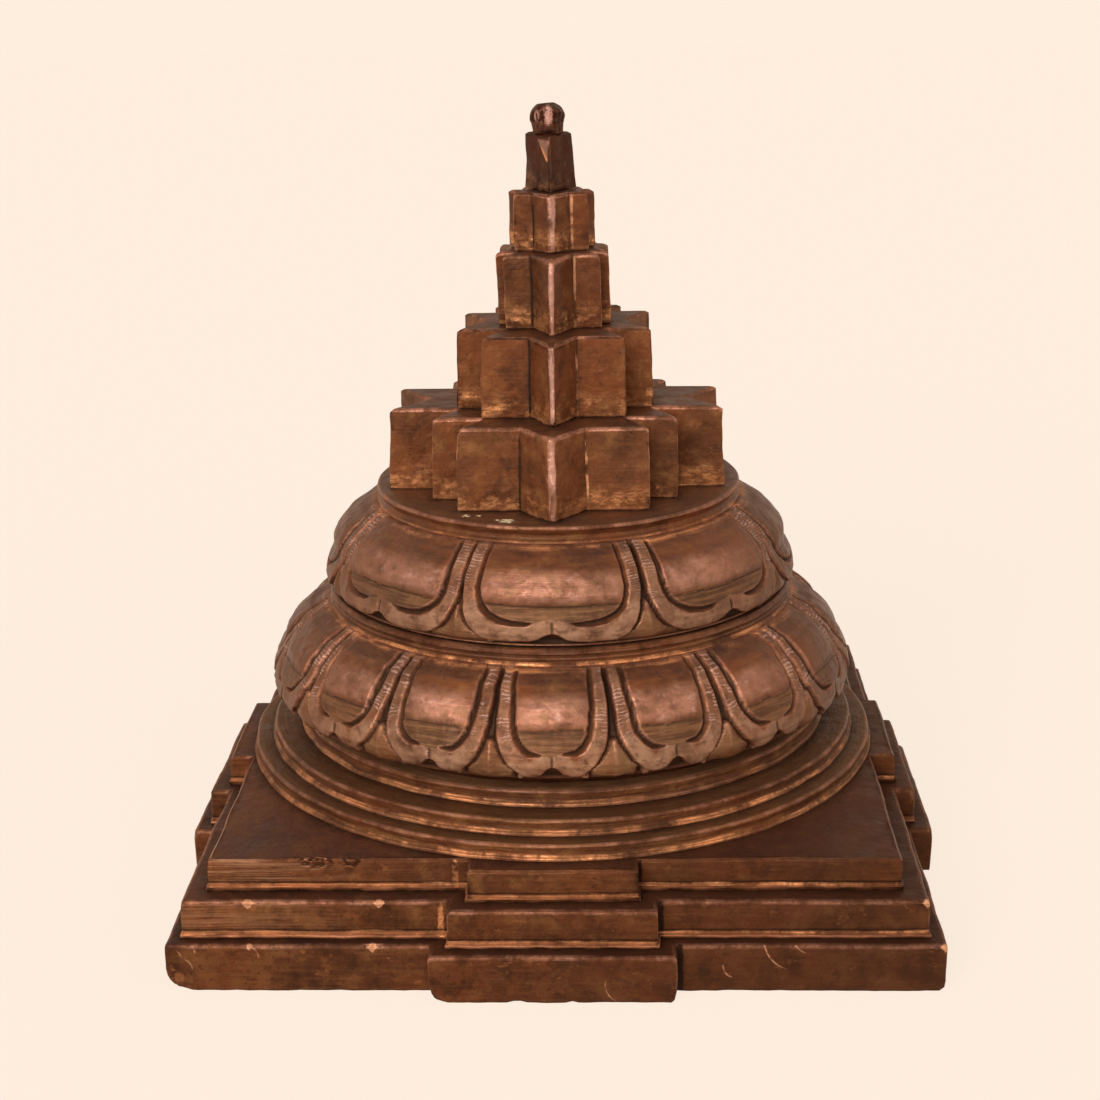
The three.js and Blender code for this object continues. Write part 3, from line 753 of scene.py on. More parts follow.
# %% How deep the chisel went
def carve(share, up, half_pitch, tall, lines, crease, swell):
    """Height over the plain ring in millimetres, and the masks that the finish needs."""
    edge, groove, groove_width = lines
    x = np.abs(share) * half_pitch
    y = up * tall
    to_edge, run, _ = line_distance([(a * half_pitch, b * tall) for a, b in edge], x, y)
    half_width = read_off([(b, a) for a, b in edge if a >= LOBE_SHARE], up) * half_pitch
    cusp = read_off([(a, b) for a, b in edge if a <= LOBE_SHARE], np.abs(share)) * tall
    outside = (x > half_width) | ((y < cusp) & (np.abs(share) < LOBE_SHARE)) | (up < -0.01)
    inside = ~outside
    inward = np.where(outside, -to_edge, to_edge)
    depth = -CHISEL_DEPTH * smooth(-inward, -0.2, 1.0)

    from_pitch_line = half_pitch - x
    tip_half = np.maximum(0, half_pitch - half_width - TIP_CLEARANCE)
    in_tip = outside & (from_pitch_line < tip_half)
    roof = TIP_RIDGE - TIP_FALL * np.clip(from_pitch_line / np.maximum(tip_half, 0.6), 0, 1)
    tip = smooth(tip_half - from_pitch_line, 0, 0.8) * (1 - smooth(up, 0.38, 0.46)) * in_tip
    depth = depth + tip * roof

    to_groove, groove_run, side = line_distance([(a * half_pitch, b * tall) for a, b in groove], x, y)
    width = read_off(groove_width, groove_run)
    t = (side * to_groove + width / 2) / width
    steep = STEEP_SHARE + (CURL_STEEP_SHARE - STEEP_SHARE) * smooth(0.36 - up, -0.1, 0.05)
    sloped = smooth(t, 0, steep) * np.clip(1 - (t - steep) / (1 - steep), 0, 1) ** 0.8
    sloped = np.where(inside & (t > 0) & (t < 1) & (to_groove < width / 2), sloped, 0)
    sloped = sloped * smooth(width, 0.6, 2.2)
    depth = depth - GROOVE_DEPTH * sloped
    wall = smooth(t, -0.06, 0.06) * (1 - smooth(t, steep, steep + 0.2)) * (sloped > 0.02)

    field_half = read_off([(b, a) for a, b in reversed(groove) if b >= crease - 0.1], up) * half_pitch
    field_half = field_half - read_off(groove_width, 0.2) / 2 + 0.2
    over = 1 - (x / np.maximum(field_half, 0.1)) ** 2
    field = (over > 0) & (up > crease)
    over = np.sqrt(np.clip(over, 0, 1)) ** 0.6
    t = np.clip((up - crease) / (1 - crease), 0, 1)
    along = (0.3 + 0.7 * smooth(t, 0, 0.2)) * (1 - smooth(t, 0.45, 1.0) * 0.9)
    depth = depth + np.where(field, swell * over * along, 0)
    crease_line = np.exp(-(((up - crease) * tall) / 0.45) ** 2) * (x < field_half) * inside

    rim = inside * (side > 0) * smooth(to_groove, width / 2 - 0.4, width / 2 + 0.1)
    rim = rim * smooth(inward, 0.0, 0.3) * (1 - smooth(inward, 6.4, 7.6))
    cleft = np.exp(-((x / CLEFT_WIDTH) ** 2)) * inside * (1 - smooth(up, 0.22, 0.28))
    depth = depth - CLEFT_DEPTH * cleft
    ticks = rim * smooth(up, 0.3, 0.5)
    gap = outside * smooth(-inward, 0.1, 0.9) * (1 - tip)
    lip = inside * (1 - field) * (side < 0) * (sloped < 0.1)
    # The middle of each swell, painted rose by the finish: partly polish, partly a painted highlight.
    polish_and_highlight = np.where(field, over * smooth(t, 0.0, 0.14) * (1 - smooth(t, 0.42, 0.68)), 0)
    # wall and gap: steep cut walls, crease, cleft and gaps between petals, where the finish paints
    # shade.
    masks = {
        "ticks": ticks, "run": run * half_pitch * 2.2, "polish_and_highlight": polish_and_highlight, "lip": lip,
        "wall": np.maximum(np.maximum(wall, 0.6 * crease_line), 0.5 * cleft),
        "groove": sloped, "tip": tip, "rim": rim, "gap": gap,
    }
    return depth, masks


# %% Building a ring of petals
LOTUS_COLUMNS = 1024
PETAL_ROWS = 84


def lotus(node, seat_node, petals, sizes, profile, lines, crease, swell, seed):
    """The whole ring: spun plain, then carved. Returns the bmesh and the masks of its points."""
    bore, spigot, foot, top_radius, widest, tip_lift = (s * MM for s in sizes)
    low, top = low_of(node), top_of(node)
    seat = top_of(seat_node)
    tips = seat + tip_lift
    tall = top - tips

    def radius_at(up):
        return top_radius + (widest - top_radius) * read_off(profile, up)

    ups = [i / (PETAL_ROWS - 1) for i in range(PETAL_ROWS)]
    outline = [(bore, low), (spigot, low), (spigot, seat), (foot, seat)]
    outline.append((foot + 1.5 * MM, seat + tip_lift * 0.33))
    outline.append((radius_at(0) - 4.2 * MM, tips - 1.6 * MM))
    outline.append((radius_at(0) - 1.4 * MM, tips - 1.1 * MM))
    outline += [(radius_at(up), tips + up * tall) for up in ups]
    outline.append((bore, top))
    bm = spun(outline, LOTUS_COLUMNS)

    points = np.array([v.co[:] for v in bm.verts])
    radius = np.hypot(points[:, 0], points[:, 1])
    up = (points[:, 2] - tips) / tall
    on_petal = (radius > np.array([radius_at(u) for u in (0, 1)]).min() - 2 * MM) & (up > -0.06)
    on_petal = on_petal & (np.abs(radius - radius_at(np.clip(up, 0, 1))) < 2 * MM)
    half_pitch = math.pi / petals
    turn = (np.arctan2(points[:, 1], points[:, 0]) + math.pi / 2) / (2 * half_pitch)
    share = 2 * (turn - np.round(turn))
    half_mm = half_pitch * widest / MM
    tall_mm = tall / MM
    own = [(number * 2.9, 0.0, 0.0) for number in range(petals)]
    number = np.round(turn).astype(int) % petals
    own_place = 0.03 * wander(own, 1, seed)[number]
    own_height = 0.02 * wander(own, 1, seed + 2)[number]
    share = share + wander(points, 9 * MM, seed) * 0.55 / half_mm + own_place
    carved_up = up + wander(points, 13 * MM, seed + 4) * 0.8 / tall_mm + own_height
    depth, masks = carve(share, carved_up, half_mm, tall_mm, lines, crease, swell)
    depth = depth * (1 - 0.3 * smooth(up, 0.94, 1.0))
    depth += 0.4 * wander(points, 8 * MM, seed + 9) + 0.16 * wander(points, 3 * MM, seed + 12)

    slant = np.interp(up, ups, np.gradient([radius_at(u) for u in ups], [u * tall for u in ups]))
    size = np.hypot(1, slant)
    depth = np.where(on_petal, depth, 0) * MM
    new_radius = radius + depth / size
    points[:, 0] *= new_radius / radius
    points[:, 1] *= new_radius / radius
    points[:, 2] += np.where(up > 0.995, 0, -depth * slant / size)
    for v, p in zip(bm.verts, points):
        v.co = p
    return bm, {label: values * on_petal for label, values in masks.items()}


# %% Finish of a carved ring
LOBE = (0.360, 0.1950, 0.1180)
PALE_ROSE = (0.640, 0.3900, 0.3200)
TICK_SPACING = 1.3


def carved_finish(f):
    """Rose on the front swells, partly polish and partly a painted highlight, with painted glints.
    Painted shade in the steep cuts, the crease, between the petals and on petals turned aside.
    Pale chisel ticks on the rims, their pale colour a painted highlight.
    """
    frontal = f.math("DIVIDE", f.y, f.hypot(f.x, f.y))
    ticks, lip = f.attribute("ticks"), f.attribute("lip")
    # Painted shade: the rose swells and the pale rims fade on petals that turn to the sides.
    polish_and_highlight = f.times(f.attribute("polish_and_highlight"), f.ramp(frontal, -0.35, -0.92, 0.25, 1.0))
    rim = f.times(f.attribute("rim"), f.ramp(ticks, 0.0, 1.0, 1.0, 0.55))
    rim = f.times(rim, f.ramp(frontal, -0.35, -0.9, 0.55, 1.0))
    bloom = f.noise(6, detail=5, rough=0.65, squeeze=(1, 1, 1.6), shift=19.0)
    f.lay(OLIVE, lip, 0.45)
    f.lay(UMBER, lip, f.ramp(f.brush, 0.56, 0.42), 0.7)
    # Rose on the swells: partly polish, partly a painted highlight.
    f.lay(ROSE, polish_and_highlight, f.ramp(f.plus(f.speck, 0.4, f.mottle), 0.52, 0.82, 0.35, 1.0), 0.75)
    f.lay(OLIVE, polish_and_highlight, f.ramp(bloom, 0.47, 0.38), 0.6)
    # Pale rose flecks on the swells: painted glints.
    f.lay(PALE_ROSE, polish_and_highlight, f.ramp(bloom, 0.52, 0.70), 0.4)
    f.lay(LOBE, rim, f.ramp(f.mottle, 0.38, 0.62, 0.25, 0.75))
    f.lay(UMBER, rim, f.ramp(bloom, 0.47, 0.36), 0.55)
    f.lay(OLIVE, f.attribute("tip"), f.ramp(f.mottle, 0.38, 0.66, 0.2, 0.7))
    # Painted shade: petals that turn away to the sides are darker.
    f.lay(BROWN, f.ramp(frontal, -0.88, -0.3, 0.0, 0.5))
    f.lay(UMBER, f.ramp(frontal, -0.65, -0.2, 0.0, 0.45))
    f.lay(BROWN, f.attribute("groove"), 0.75)
    # Painted shade between the petals and on the steep walls, the crease and the cleft.
    f.lay(UMBER, f.attribute("gap"), 0.92)
    f.lay(SOOT, f.attribute("wall"), 0.6)
    phase = f.plus(f.attribute("run"), 2 * math.pi / TICK_SPACING, f.times(f.speck, 13.0))
    wave = f.plus(f.noise(5.0, detail=5, shift=4.0), 7.0, f.math("SINE", phase))
    f.cuts = f.times(ticks, f.ramp(wave, 3.9, 5.0))
    f.polish(f.times(polish_and_highlight, 0.5))
    # Chisel ticks on the rims: their pale colour is a painted highlight.
    f.lay(PALE_ROSE, f.cuts, 0.55)


# %% Both rings
OUTER_PROFILE = [
    (0, 0.935), (0.06, 0.975), (0.14, 1), (0.28, 0.96), (0.42, 0.86), (0.5, 0.77), (0.68, 0.6),
    (0.88, 0.32), (1, 0),
]
INNER_PROFILE = [
    (0, 0.955), (0.04, 0.985), (0.1, 1), (0.2, 0.97), (0.32, 0.89), (0.42, 0.79), (0.58, 0.7),
    (0.76, 0.49), (0.9, 0.25), (1, 0),
]
# Sizes: bore, spigot, foot, top and widest radius, and how high the petal tips stand.
LOTUSES = {
    "lotus_sixteen_petals": dict(
        seat_node="girdle_upper_ring", petals=16, sizes=(80.0, 97.7, 106.0, 101.5, 126.5, 9.8),
        profile=OUTER_PROFILE, lines=(SIXTEEN_EDGE, SIXTEEN_GROOVE, SIXTEEN_GROOVE_WIDTH),
        crease=0.49, swell=1.6, seed=3,
    ),
    "lotus_eight_petals": dict(
        seat_node="lotus_foot_band", petals=8, sizes=(62.0, 79.7, 96.5, 79.5, 101.5, 2.8),
        profile=INNER_PROFILE, lines=(EIGHT_EDGE, EIGHT_GROOVE, EIGHT_GROOVE_WIDTH),
        crease=0.42, swell=1.8, seed=5,
    ),
}
for node, shape in LOTUSES.items():
    ring, masks = lotus(node, **shape)
    finish = patina(
        node + "_patina", foot=top_of(node) - 0.2 * MM, strokes=0.35, foot_size=1.3, rose_share=0.4,
        seed=13.0 + shape["seed"], extra=carved_finish,
    )
    piece = finish_piece(node + "_carved", ring, finish, node, spread=1)
    for label, values in masks.items():
        write_attribute(piece.data, label, values)

# %% [markdown]
# ## Straight castings
# Steps and star tiers start as merged copies of their castings. Flat faces are joined back to
# whole faces, standing edges are rounded, and then the piece is sliced into small fields, so that
# it can be dented and worn like the real one.

# %% Copying a casting
def casting_copy(node):
    """The casting as a bmesh, its triangles joined back to flat faces, with room for two marks."""
    bm = bmesh.new()
    bm.from_mesh(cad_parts[node].data)
    bm.faces.layers.int.new("rounded")
    bm.verts.layers.float.new("edge")
    bmesh.ops.remove_doubles(bm, verts=bm.verts[:], dist=0.01 * MM)
    bmesh.ops.dissolve_limit(
        bm, angle_limit=math.radians(1), use_dissolve_boundaries=False,
        verts=bm.verts[:], edges=bm.edges[:],
    )
    return bm


# %% Rounding and slicing
SHARP = math.radians(35)
EDGE_ROUND = 0.55 * MM


def bevel(bm, edges, offset, segments):
    return bmesh.ops.bevel(
        bm, geom=edges, offset=offset, segments=segments, profile=0.5, affect="EDGES", material=-1,
        clamp_overlap=True,
    )["faces"]


def soften(bm, floor_z):
    """Rounds every standing edge above the floor of the piece."""
    edges = [
        e for e in bm.edges
        if len(e.link_faces) == 2 and e.calc_face_angle_signed(0) > SHARP
        and max(v.co.z for v in e.verts) > floor_z + 0.1 * MM
    ]
    rounded_faces = bevel(bm, edges, EDGE_ROUND, 2)
    layer = bm.faces.layers.int["rounded"]
    for face in rounded_faces:
        face[layer] = 1


def mark_edges(bm):
    """Gives the points of rounded edges a mark for the finish, once the piece is sliced."""
    rounded_layer = bm.faces.layers.int["rounded"]
    layer = bm.verts.layers.float["edge"]
    for v in bm.verts:
        v[layer] = float(any(face[rounded_layer] for face in v.link_faces))


def cut(bm, place, normal):
    geometry = bm.verts[:] + bm.edges[:] + bm.faces[:]
    bmesh.ops.bisect_plane(bm, geom=geometry, plane_co=place, plane_no=normal, dist=0.001 * MM)


def slice_up(bm, spacing):
    """Cuts the piece along evenly spaced planes, so that it has points to move."""
    for k in range(3):
        low = min(v.co[k] for v in bm.verts)
        high = max(v.co[k] for v in bm.verts)
        cuts = int((high - low) / spacing)
        normal = Vector((0, 0, 0))
        normal[k] = 1
        for i in range(1, cuts + 1):
            cut(bm, normal * (low + (high - low) * (i - 0.43) / (cuts + 0.2)), normal)
    mark_edges(bm)


# %% Wear, chips and burrs
FINE_REACH = 4.5 * MM
FINE_CUTS = 3
BURR_LIFT = 1.9 * MM
FRONT_EDGE_FACING = Vector((0.0, -0.75, 0.65))


def wear(bm, depth, size, seed):
    """Rubs standing edges down unevenly."""
    mesh = bpy.data.meshes.new("worn")
    bm.to_mesh(mesh)
    slope = np.clip(relief(mesh, 1) / CREST_SLOPE, 0, 1)
    normals = read_normals(mesh)
    points = read_points(mesh)
    rub = np.clip(0.5 + wander(points, size, seed) * 1.2, 0, 1)
    for v, n, s, r in zip(bm.verts, normals, slope, rub):
        v.co -= Vector(n) * (depth * s * r)
    bpy.data.meshes.remove(mesh)


def refine(bm, places):
    """Gives the mesh more points near some places, given in millimetres."""
    places = [Vector(p) * MM for p in places]
    edges = [
        e for e in bm.edges
        if any(all((v.co - p).length < FINE_REACH for v in e.verts) for p in places)
    ]
    bmesh.ops.subdivide_edges(bm, edges=edges, cuts=FINE_CUTS, use_grid_fill=True)


def ruffle(bm, place, reach, seed):
    """Burrs lifted along a front edge: the surface near one place is pushed out, unevenly."""
    points = np.array([v.co[:] for v in bm.verts]) / MM
    near = np.clip(1 - np.linalg.norm((points - place) / reach, axis=1) ** 2, 0, 1)
    slivers = wander(points * (0.7, 1, 1.6) * MM, 2.4 * MM, seed)
    lift = near ** 0.5 * np.clip(slivers * 3.0, -0.25, 1)
    for v, amount in zip(bm.verts, lift * BURR_LIFT):
        v.co += FRONT_EDGE_FACING * float(amount)


def knock_off(bm, place, radius, facing, keep):
    """Knocks a corner off: points near the place and beyond a plane go back onto the plane."""
    place, facing = Vector(place) * MM, Vector(facing).normalized()
    for v in bm.verts:
        over = (v.co - place).dot(facing) - keep * MM
        if over > 0 and (v.co - place).length < radius * MM:
            v.co -= facing * over


# %% Lean of the top tiers
LEAN = 1.9 * MM
LEAN_START = low_of("star_inner_ten_corners")
LEAN_HEIGHT = top_of("bindu_finial") - LEAN_START


def lean(bm):
    """The top of the stack leans a little to the left, as it was bolted up."""
    for v in bm.verts:
        v.co.x -= LEAN * max(0, (v.co.z - LEAN_START) / LEAN_HEIGHT) ** 1.2


# %% [markdown]
# ## Star tiers
# The five tiers are bars with the outline of the nine-triangle figure. On the real ones the ridge
# in front is rubbed flat and rosy, the corners beside it keep a saw cut, and the foot was brushed
# bright. The rose laid on that ridge is partly a painted highlight. The flat is one wide bevel in
# the mesh. The other marks are colour, each laid at its own place in millimetres, because they
# belong to one spot and a repeating pattern can't give that.
# The lowest tier's ridge stands behind its side corners, so its place has a value of its own.

# %% Marks of the star tiers
LOWEST_RIDGE = -73.2
RIDGE_ROSE = (0.540, 0.2900, 0.2250)
FOOT_COPPER = (0.740, 0.3200, 0.1300)
CORNER_COPPER = (0.740, 0.3600, 0.1900)
CHIP_BROWN = (0.320, 0.1550, 0.1000)
CHIP = (-2.6, -11.0, 305.0)
CHIP_FACING = (-0.62, -0.76, 0.2)
CHIP_FOOT = (-2.4, 299.5)
CHIP_TALL = 9.0
CHIP_SPREAD = 3.9
CHIP_RIGHT = -0.9


def corner_lines(f, valley, gleam_share):
    """A saw cut in the corner left of the ridge, and a bright line in the one right of it."""
    across, depth = valley
    f.lay(SOOT, f.spot((-across, depth, 0.0), 0.75, f.speck, UPRIGHT_LINE), 0.9)
    gleam = f.spot((across, depth, 0.0), 0.7, f.speck, UPRIGHT_LINE)
    gleam = f.times(gleam, f.ramp(f.mottle, 0.42, 0.56), gleam_share)
    f.lay(CORNER_COPPER, gleam, 0.85)
    f.hollow = f.without(f.hollow, gleam)
    f.polish(gleam)


def chip_marks(f):
    """The chip on the single triangle: a wedge that widens upwards, bright along its left side."""
    rise = f.math("DIVIDE", f.minus(f.z, CHIP_FOOT[1]), CHIP_TALL)
    from_left = f.plus(rise, CHIP_SPREAD, f.minus(f.x, CHIP_FOOT[0]))
    from_right = f.minus(CHIP_RIGHT, f.x)
    chip = f.times(f.ramp(from_left, 0.0, 0.3), f.ramp(from_right, 0.0, 0.3))
    chip = f.times(chip, f.ramp(rise, 0.0, 0.05), f.ramp(rise, 1.0, 0.9), f.ramp(f.y, 0.0, -3.0))
    glint = f.times(chip, f.ramp(from_left, 1.5, 0.3), f.ramp(rise, 0.75, 0.4))
    f.lay(CHIP_BROWN, chip, f.ramp(f.speck, 0.3, 0.6, 0.5, 0.9))
    f.lay(BRIGHT, glint)
    f.polish(glint)


def tier_finish(node, ridge, valley):
    foot = low_of(node) / MM
    front = LOWEST_RIDGE if node == "star_fourteen_corners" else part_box(node)[0].y / MM
    glow = 1.0 if valley else 0.2
    ridge_glow = 1.0 if valley else 0.1

    def extra(f):
        """Brushed copper at the foot, and a flat rosy ridge in front, its rose partly a painted
        highlight.
        """
        height = f.minus(f.z, foot)
        patch = f.ramp(f.noise(13, detail=5, rough=0.7, shift=foot), 0.42, 0.56)
        grain = f.noise(7, detail=7, rough=0.8, squeeze=(1, 1, 3.0), shift=foot)
        grain = f.ramp(grain, 0.42, 0.60, 0.1, 1.0)
        haze = f.ramp(f.noise(16, detail=6, rough=0.75, shift=foot + 40), 0.54, 0.68)
        brushed = f.times(patch, f.ramp(height, 13.0, 2.0), grain, glow)
        f.lay(OCHRE, haze, grain, 0.5, glow)
        f.lay(FOOT_COPPER, brushed, 0.9)
        f.polish(f.times(brushed, 0.8))
        # Rose on the front ridge: worn copper, partly a painted highlight.
        slender = f.ramp(height, 0.0, 20.0, 0.9, 2.1)
        line = f.spot((0.0, front + ridge * 0.8, 0.0), slender, f.speck, UPRIGHT_LINE)
        streak = f.noise(9, detail=5, rough=0.7, squeeze=(1, 1, 0.5), shift=foot)
        line = f.times(line, f.ramp(streak, 0.36, 0.56, 0.25, 1.0), ridge_glow)
        f.lay(RIDGE_ROSE, line, 0.9)
        f.polish(f.times(line, 0.7))
        if valley:
            corner_lines(f, valley, 1.0 if ridge > 2 else 0.6)
        else:
            chip_marks(f)

    return extra


# %% Star tiers
# Each tier: the width of its worn front ridge, the inner corner beside it, and its tone.
TIERS = {
    "star_fourteen_corners": (2.2, (13.6, -54.9), (1.0, 1.0, 1.0)),
    "star_outer_ten_corners": (1.9, (9.6, -36.6), (0.95, 0.94, 0.94)),
    "star_inner_ten_corners": (1.8, (8.8, -18.3), (0.86, 0.82, 0.80)),
    "star_eight_corners": (1.8, (7.8, -9.2), (0.80, 0.74, 0.72)),
    "star_triangle": (0.9, None, (0.34, 0.24, 0.19)),
}
# Tread colour of the tiers: a dark painted shade.
TIER_TREAD = (0.028, 0.0125, 0.0090)
stack = [*TIERS, "bindu_finial"]
for seed, (node, (ridge, valley, tone)) in enumerate(TIERS.items()):
    star = casting_copy(node)
    front = min(v.co.y for v in star.verts)
    ridge_edges = [
        e for e in star.edges
        if all(abs(v.co.x) < 0.1 * MM and v.co.y < front * 0.8 for v in e.verts)
    ]
    bevel(star, ridge_edges, ridge * MM, 1)
    soften(star, low_of(node))
    slice_up(star, 1.8 * MM if valley else 1.0 * MM)
    shake(star, 0.55 * MM, 14 * MM, seed * 5 + 80)
    shake(star, 0.22 * MM, 5 * MM, seed * 5 + 82)
    wear(star, 0.6 * MM, 4 * MM, seed + 90)
    if not valley:
        knock_off(star, CHIP, 5.0, CHIP_FACING, 0.1)
    lean(star)
    finish = patina(
        node + "_patina", foot=low_of(node) + 0.6 * MM if valley else None, strokes=0.16,
        foot_size=1.6, bare_from=0.35, gloss=0.26 if valley else 0.12, tone=tone, tread_shading=TIER_TREAD,
        blotch=0.35, seed=seed * 9.0 + 2, extra=tier_finish(node, ridge, valley),
    )
    finish_piece(node + "_worn", star, finish, node, spread=1, above=stack[seed + 1])

# %% [markdown]
# ## Square steps
# The steps carry most of the knocks: nicks along their top edges, two burrs on the upper one, faint
# curved scratches in front, and a lowest step whose bottom corners are worn round where it has been
# set down and slid. Each upper step has a bright toe with a dark seam over it. The nicks and burrs
# are in the mesh, the scratches and the toe only in the finish, because they have no depth to see.

# %% What each step has had to bear
# Nicks and burrs: a place and a size. Scratches: an arc by its middle x and z, radius and side.
# Slit and gleam: the dark and the bright line where the gate meets the step. Toe and light: how
# strong the bright toe and the painted light on the left side are.
STEPS = {
    "bhupura_lower_step": dict(
        seat="bhupura_middle_step", tone=(0.72, 0.70, 0.70), blotch=1.0, toe=0.0, light=0.0,
        nicks=[((-69.3, -150, 19.3), 2.2), ((-116.9, -150, 19.2), 1.4), ((149.2, -150, 19.0), 2.2)],
        scratches=[
            (-143.5, 9.5, 4.0, 1.0), (-141.0, 16.6, 3.0, 0.7), (-146.0, 14.6, 2.4, 0.8),
            (-117.6, 14.5, 4.3, 1.2), (93.5, 21.5, 13.0, -1.0), (101.0, 26.0, 11.0, -1.0),
            (70.0, 10.5, 5.0, -1.3), (28.0, 7.5, 8.0, -1.0),
        ],
        slit=(48.4, -150.3), slit_size=1.9, gleam=None,
    ),
    "bhupura_middle_step": dict(
        seat="bhupura_upper_step", tone=(0.86, 0.85, 0.85), blotch=0.85, toe=0.7, light=0.35,
        nicks=[
            ((-117.7, -143.7, 34.8), 2.7), ((-66.7, -143.7, 34.8), 2.2), ((142.9, -143.7, 34.6), 2.2),
        ],
        scratches=[], slit=(41.4, -144.0), slit_size=1.6, gleam=(-43.2, -144.0),
    ),
    "bhupura_upper_step": dict(
        seat="girdle_lower_ring", tone=(1.05, 1.05, 1.05), blotch=0.5, toe=0.7, light=0.85,
        nicks=[], scratches=[], slit=(33.5, -134.4), slit_size=0.9, gleam=(-37.9, -134.4),
    ),
}
BURRS = [((-92.0, -134.2, 46.6), (6.8, 2.6, 2.6)), ((-78.0, -134.2, 46.6), (4.6, 2.6, 2.6))]
BURR_PLACES = [(x, -134.2, 46.6) for x in (-97, -93, -89, -85, -81, -77, -74)]
FRESH = (0.600, 0.2800, 0.1550)
TOE = (0.420, 0.1500, 0.0620)
NICK_DEPTH = 0.7
HALF_BASE = 150.0
HALF_GATE = 47.0
RESTING = 0.5 * MM


def wear_round(bm, half, left_radius, right_radius, front_only):
    """Rounds the lower side edges: points outside a circle in the corner are drawn onto it."""
    half = half * MM
    for v in bm.verts:
        if front_only and v.co.y > -(HALF_BASE + 0.5) * MM:
            continue
        radius = (left_radius if v.co.x < 0 else right_radius) * MM
        across = radius - (half - abs(v.co.x))
        down = radius - v.co.z
        if across > 0 and down > 0 and abs(v.co.x) < half + 1.5 * MM:
            away = math.hypot(across, down)
            if away > radius:
                v.co.x *= 1 + across * (radius / away - 1) / abs(v.co.x)
                v.co.z = radius - down * radius / away


# %% Marks of the steps
def corner_marks(f, own, ragged):
    """A bright line at the left of the gate. Returns the dark slit at its right, laid on last."""
    if own["gleam"]:
        gleam = f.spot((*own["gleam"], 0.0), 1.5, ragged, UPRIGHT_LINE)
        gleam = f.times(gleam, f.ramp(f.mottle, 0.36, 0.52))
        f.lay(BRIGHT, gleam, 0.8)
        f.polish(gleam)
    return f.spot((*own["slit"], 0.0), own["slit_size"], ragged, UPRIGHT_LINE)


def bare_nicks(f, nicks, ragged):
    """Fresh copper in the nicks: ragged diamonds that stay close to the front face."""
    fresh = 0.0
    for (x, y, z), size in nicks:
        away = f.plus(ragged, 3.0, f.math("ADD", f.apart(f.x, x), f.apart(f.z, z - size * 0.35)))
        diamond = f.ramp(away, size + 1.5, size * 0.8 + 1.5)
        fresh = f.most(fresh, f.times(diamond, f.ramp(f.y, y + 2.2, y + 1.4)))
    f.polish(f.times(fresh, 0.25))
    f.worn = f.without(f.worn, fresh)
    f.hollow = f.without(f.hollow, fresh)
    f.lay(FRESH, fresh, f.ramp(f.speck, 0.35, 0.6, 0.55, 0.9))


def scratch(f, arc, *shares):
    """One faint bright arc of a circle, that fades towards its ends."""
    middle_x, middle_z, radius, side = arc
    right = f.minus(f.x, middle_x)
    up = f.minus(f.z, middle_z)
    line = f.ramp(f.apart(f.hypot(right, up), radius), 0.45, 0.15)
    tail = f.ramp(f.times(right, side), radius * 0.2, radius * 0.75)
    level = f.ramp(f.times(up, side), -radius * 0.3, radius * 0.1)
    f.lay(FRESH, line, tail, level, *shares)


def toe_line(f, own, foot, ragged):
    """The bright toe of an upper step, and the dark seam over it."""
    height = f.math("ADD", f.minus(f.z, foot), f.times(ragged, 0.8))
    toe = f.times(f.ramp(height, 3.3, 2.9), f.ramp(f.mottle, 0.36, 0.52, 0.35, 0.9))
    f.lay(TOE, toe, f.ramp(f.x, 150.0, -100.0, 0.35, 1.0), own["toe"])
    f.lay(SOOT, f.ramp(f.apart(height, 3.7), 0.7, 0.2), own["toe"])


def step_finish(node, own):
    def extra(f):
        """Painted shade to the right, painted light at the left, with nicks, scratches, toe and slit.
        """
        ragged = f.noise(2.0, detail=4, rough=0.7)
        upright = f.ramp(f.attribute("upward"), 0.5, 0.1)
        in_front = f.ramp(f.y, -100.0, -125.0)
        # Painted shade: darker towards the right.
        f.lay(UMBER, f.ramp(f.x, -120.0, 110.0, 0.0, 0.6))
        slit = corner_marks(f, own, ragged)
        bare_nicks(f, own["nicks"], ragged)
        for arc in own["scratches"]:
            scratch(f, arc, in_front, upright, f.ramp(ragged, 0.40, 0.55, 0.1, 0.6))
        # Painted light: ochre rose streaks on the left of the front faces.
        left = f.times(f.ramp(f.x, -60.0, -140.0), f.ramp(f.fine, 0.44, 0.58))
        f.lay(OCHRE_ROSE, left, f.ramp(f.y, -100.0, -130.0), upright, own["light"])
        toe_line(f, own, low_of(node) / MM, ragged)
        f.lay(SOOT, slit, 0.92)
        f.worn = f.times(f.worn, f.ramp(f.z, 1.0, 4.0), f.ramp(f.x, -100.0, 140.0, 1.0, 0.6))
        f.worn = f.without(f.worn, slit)

    return extra


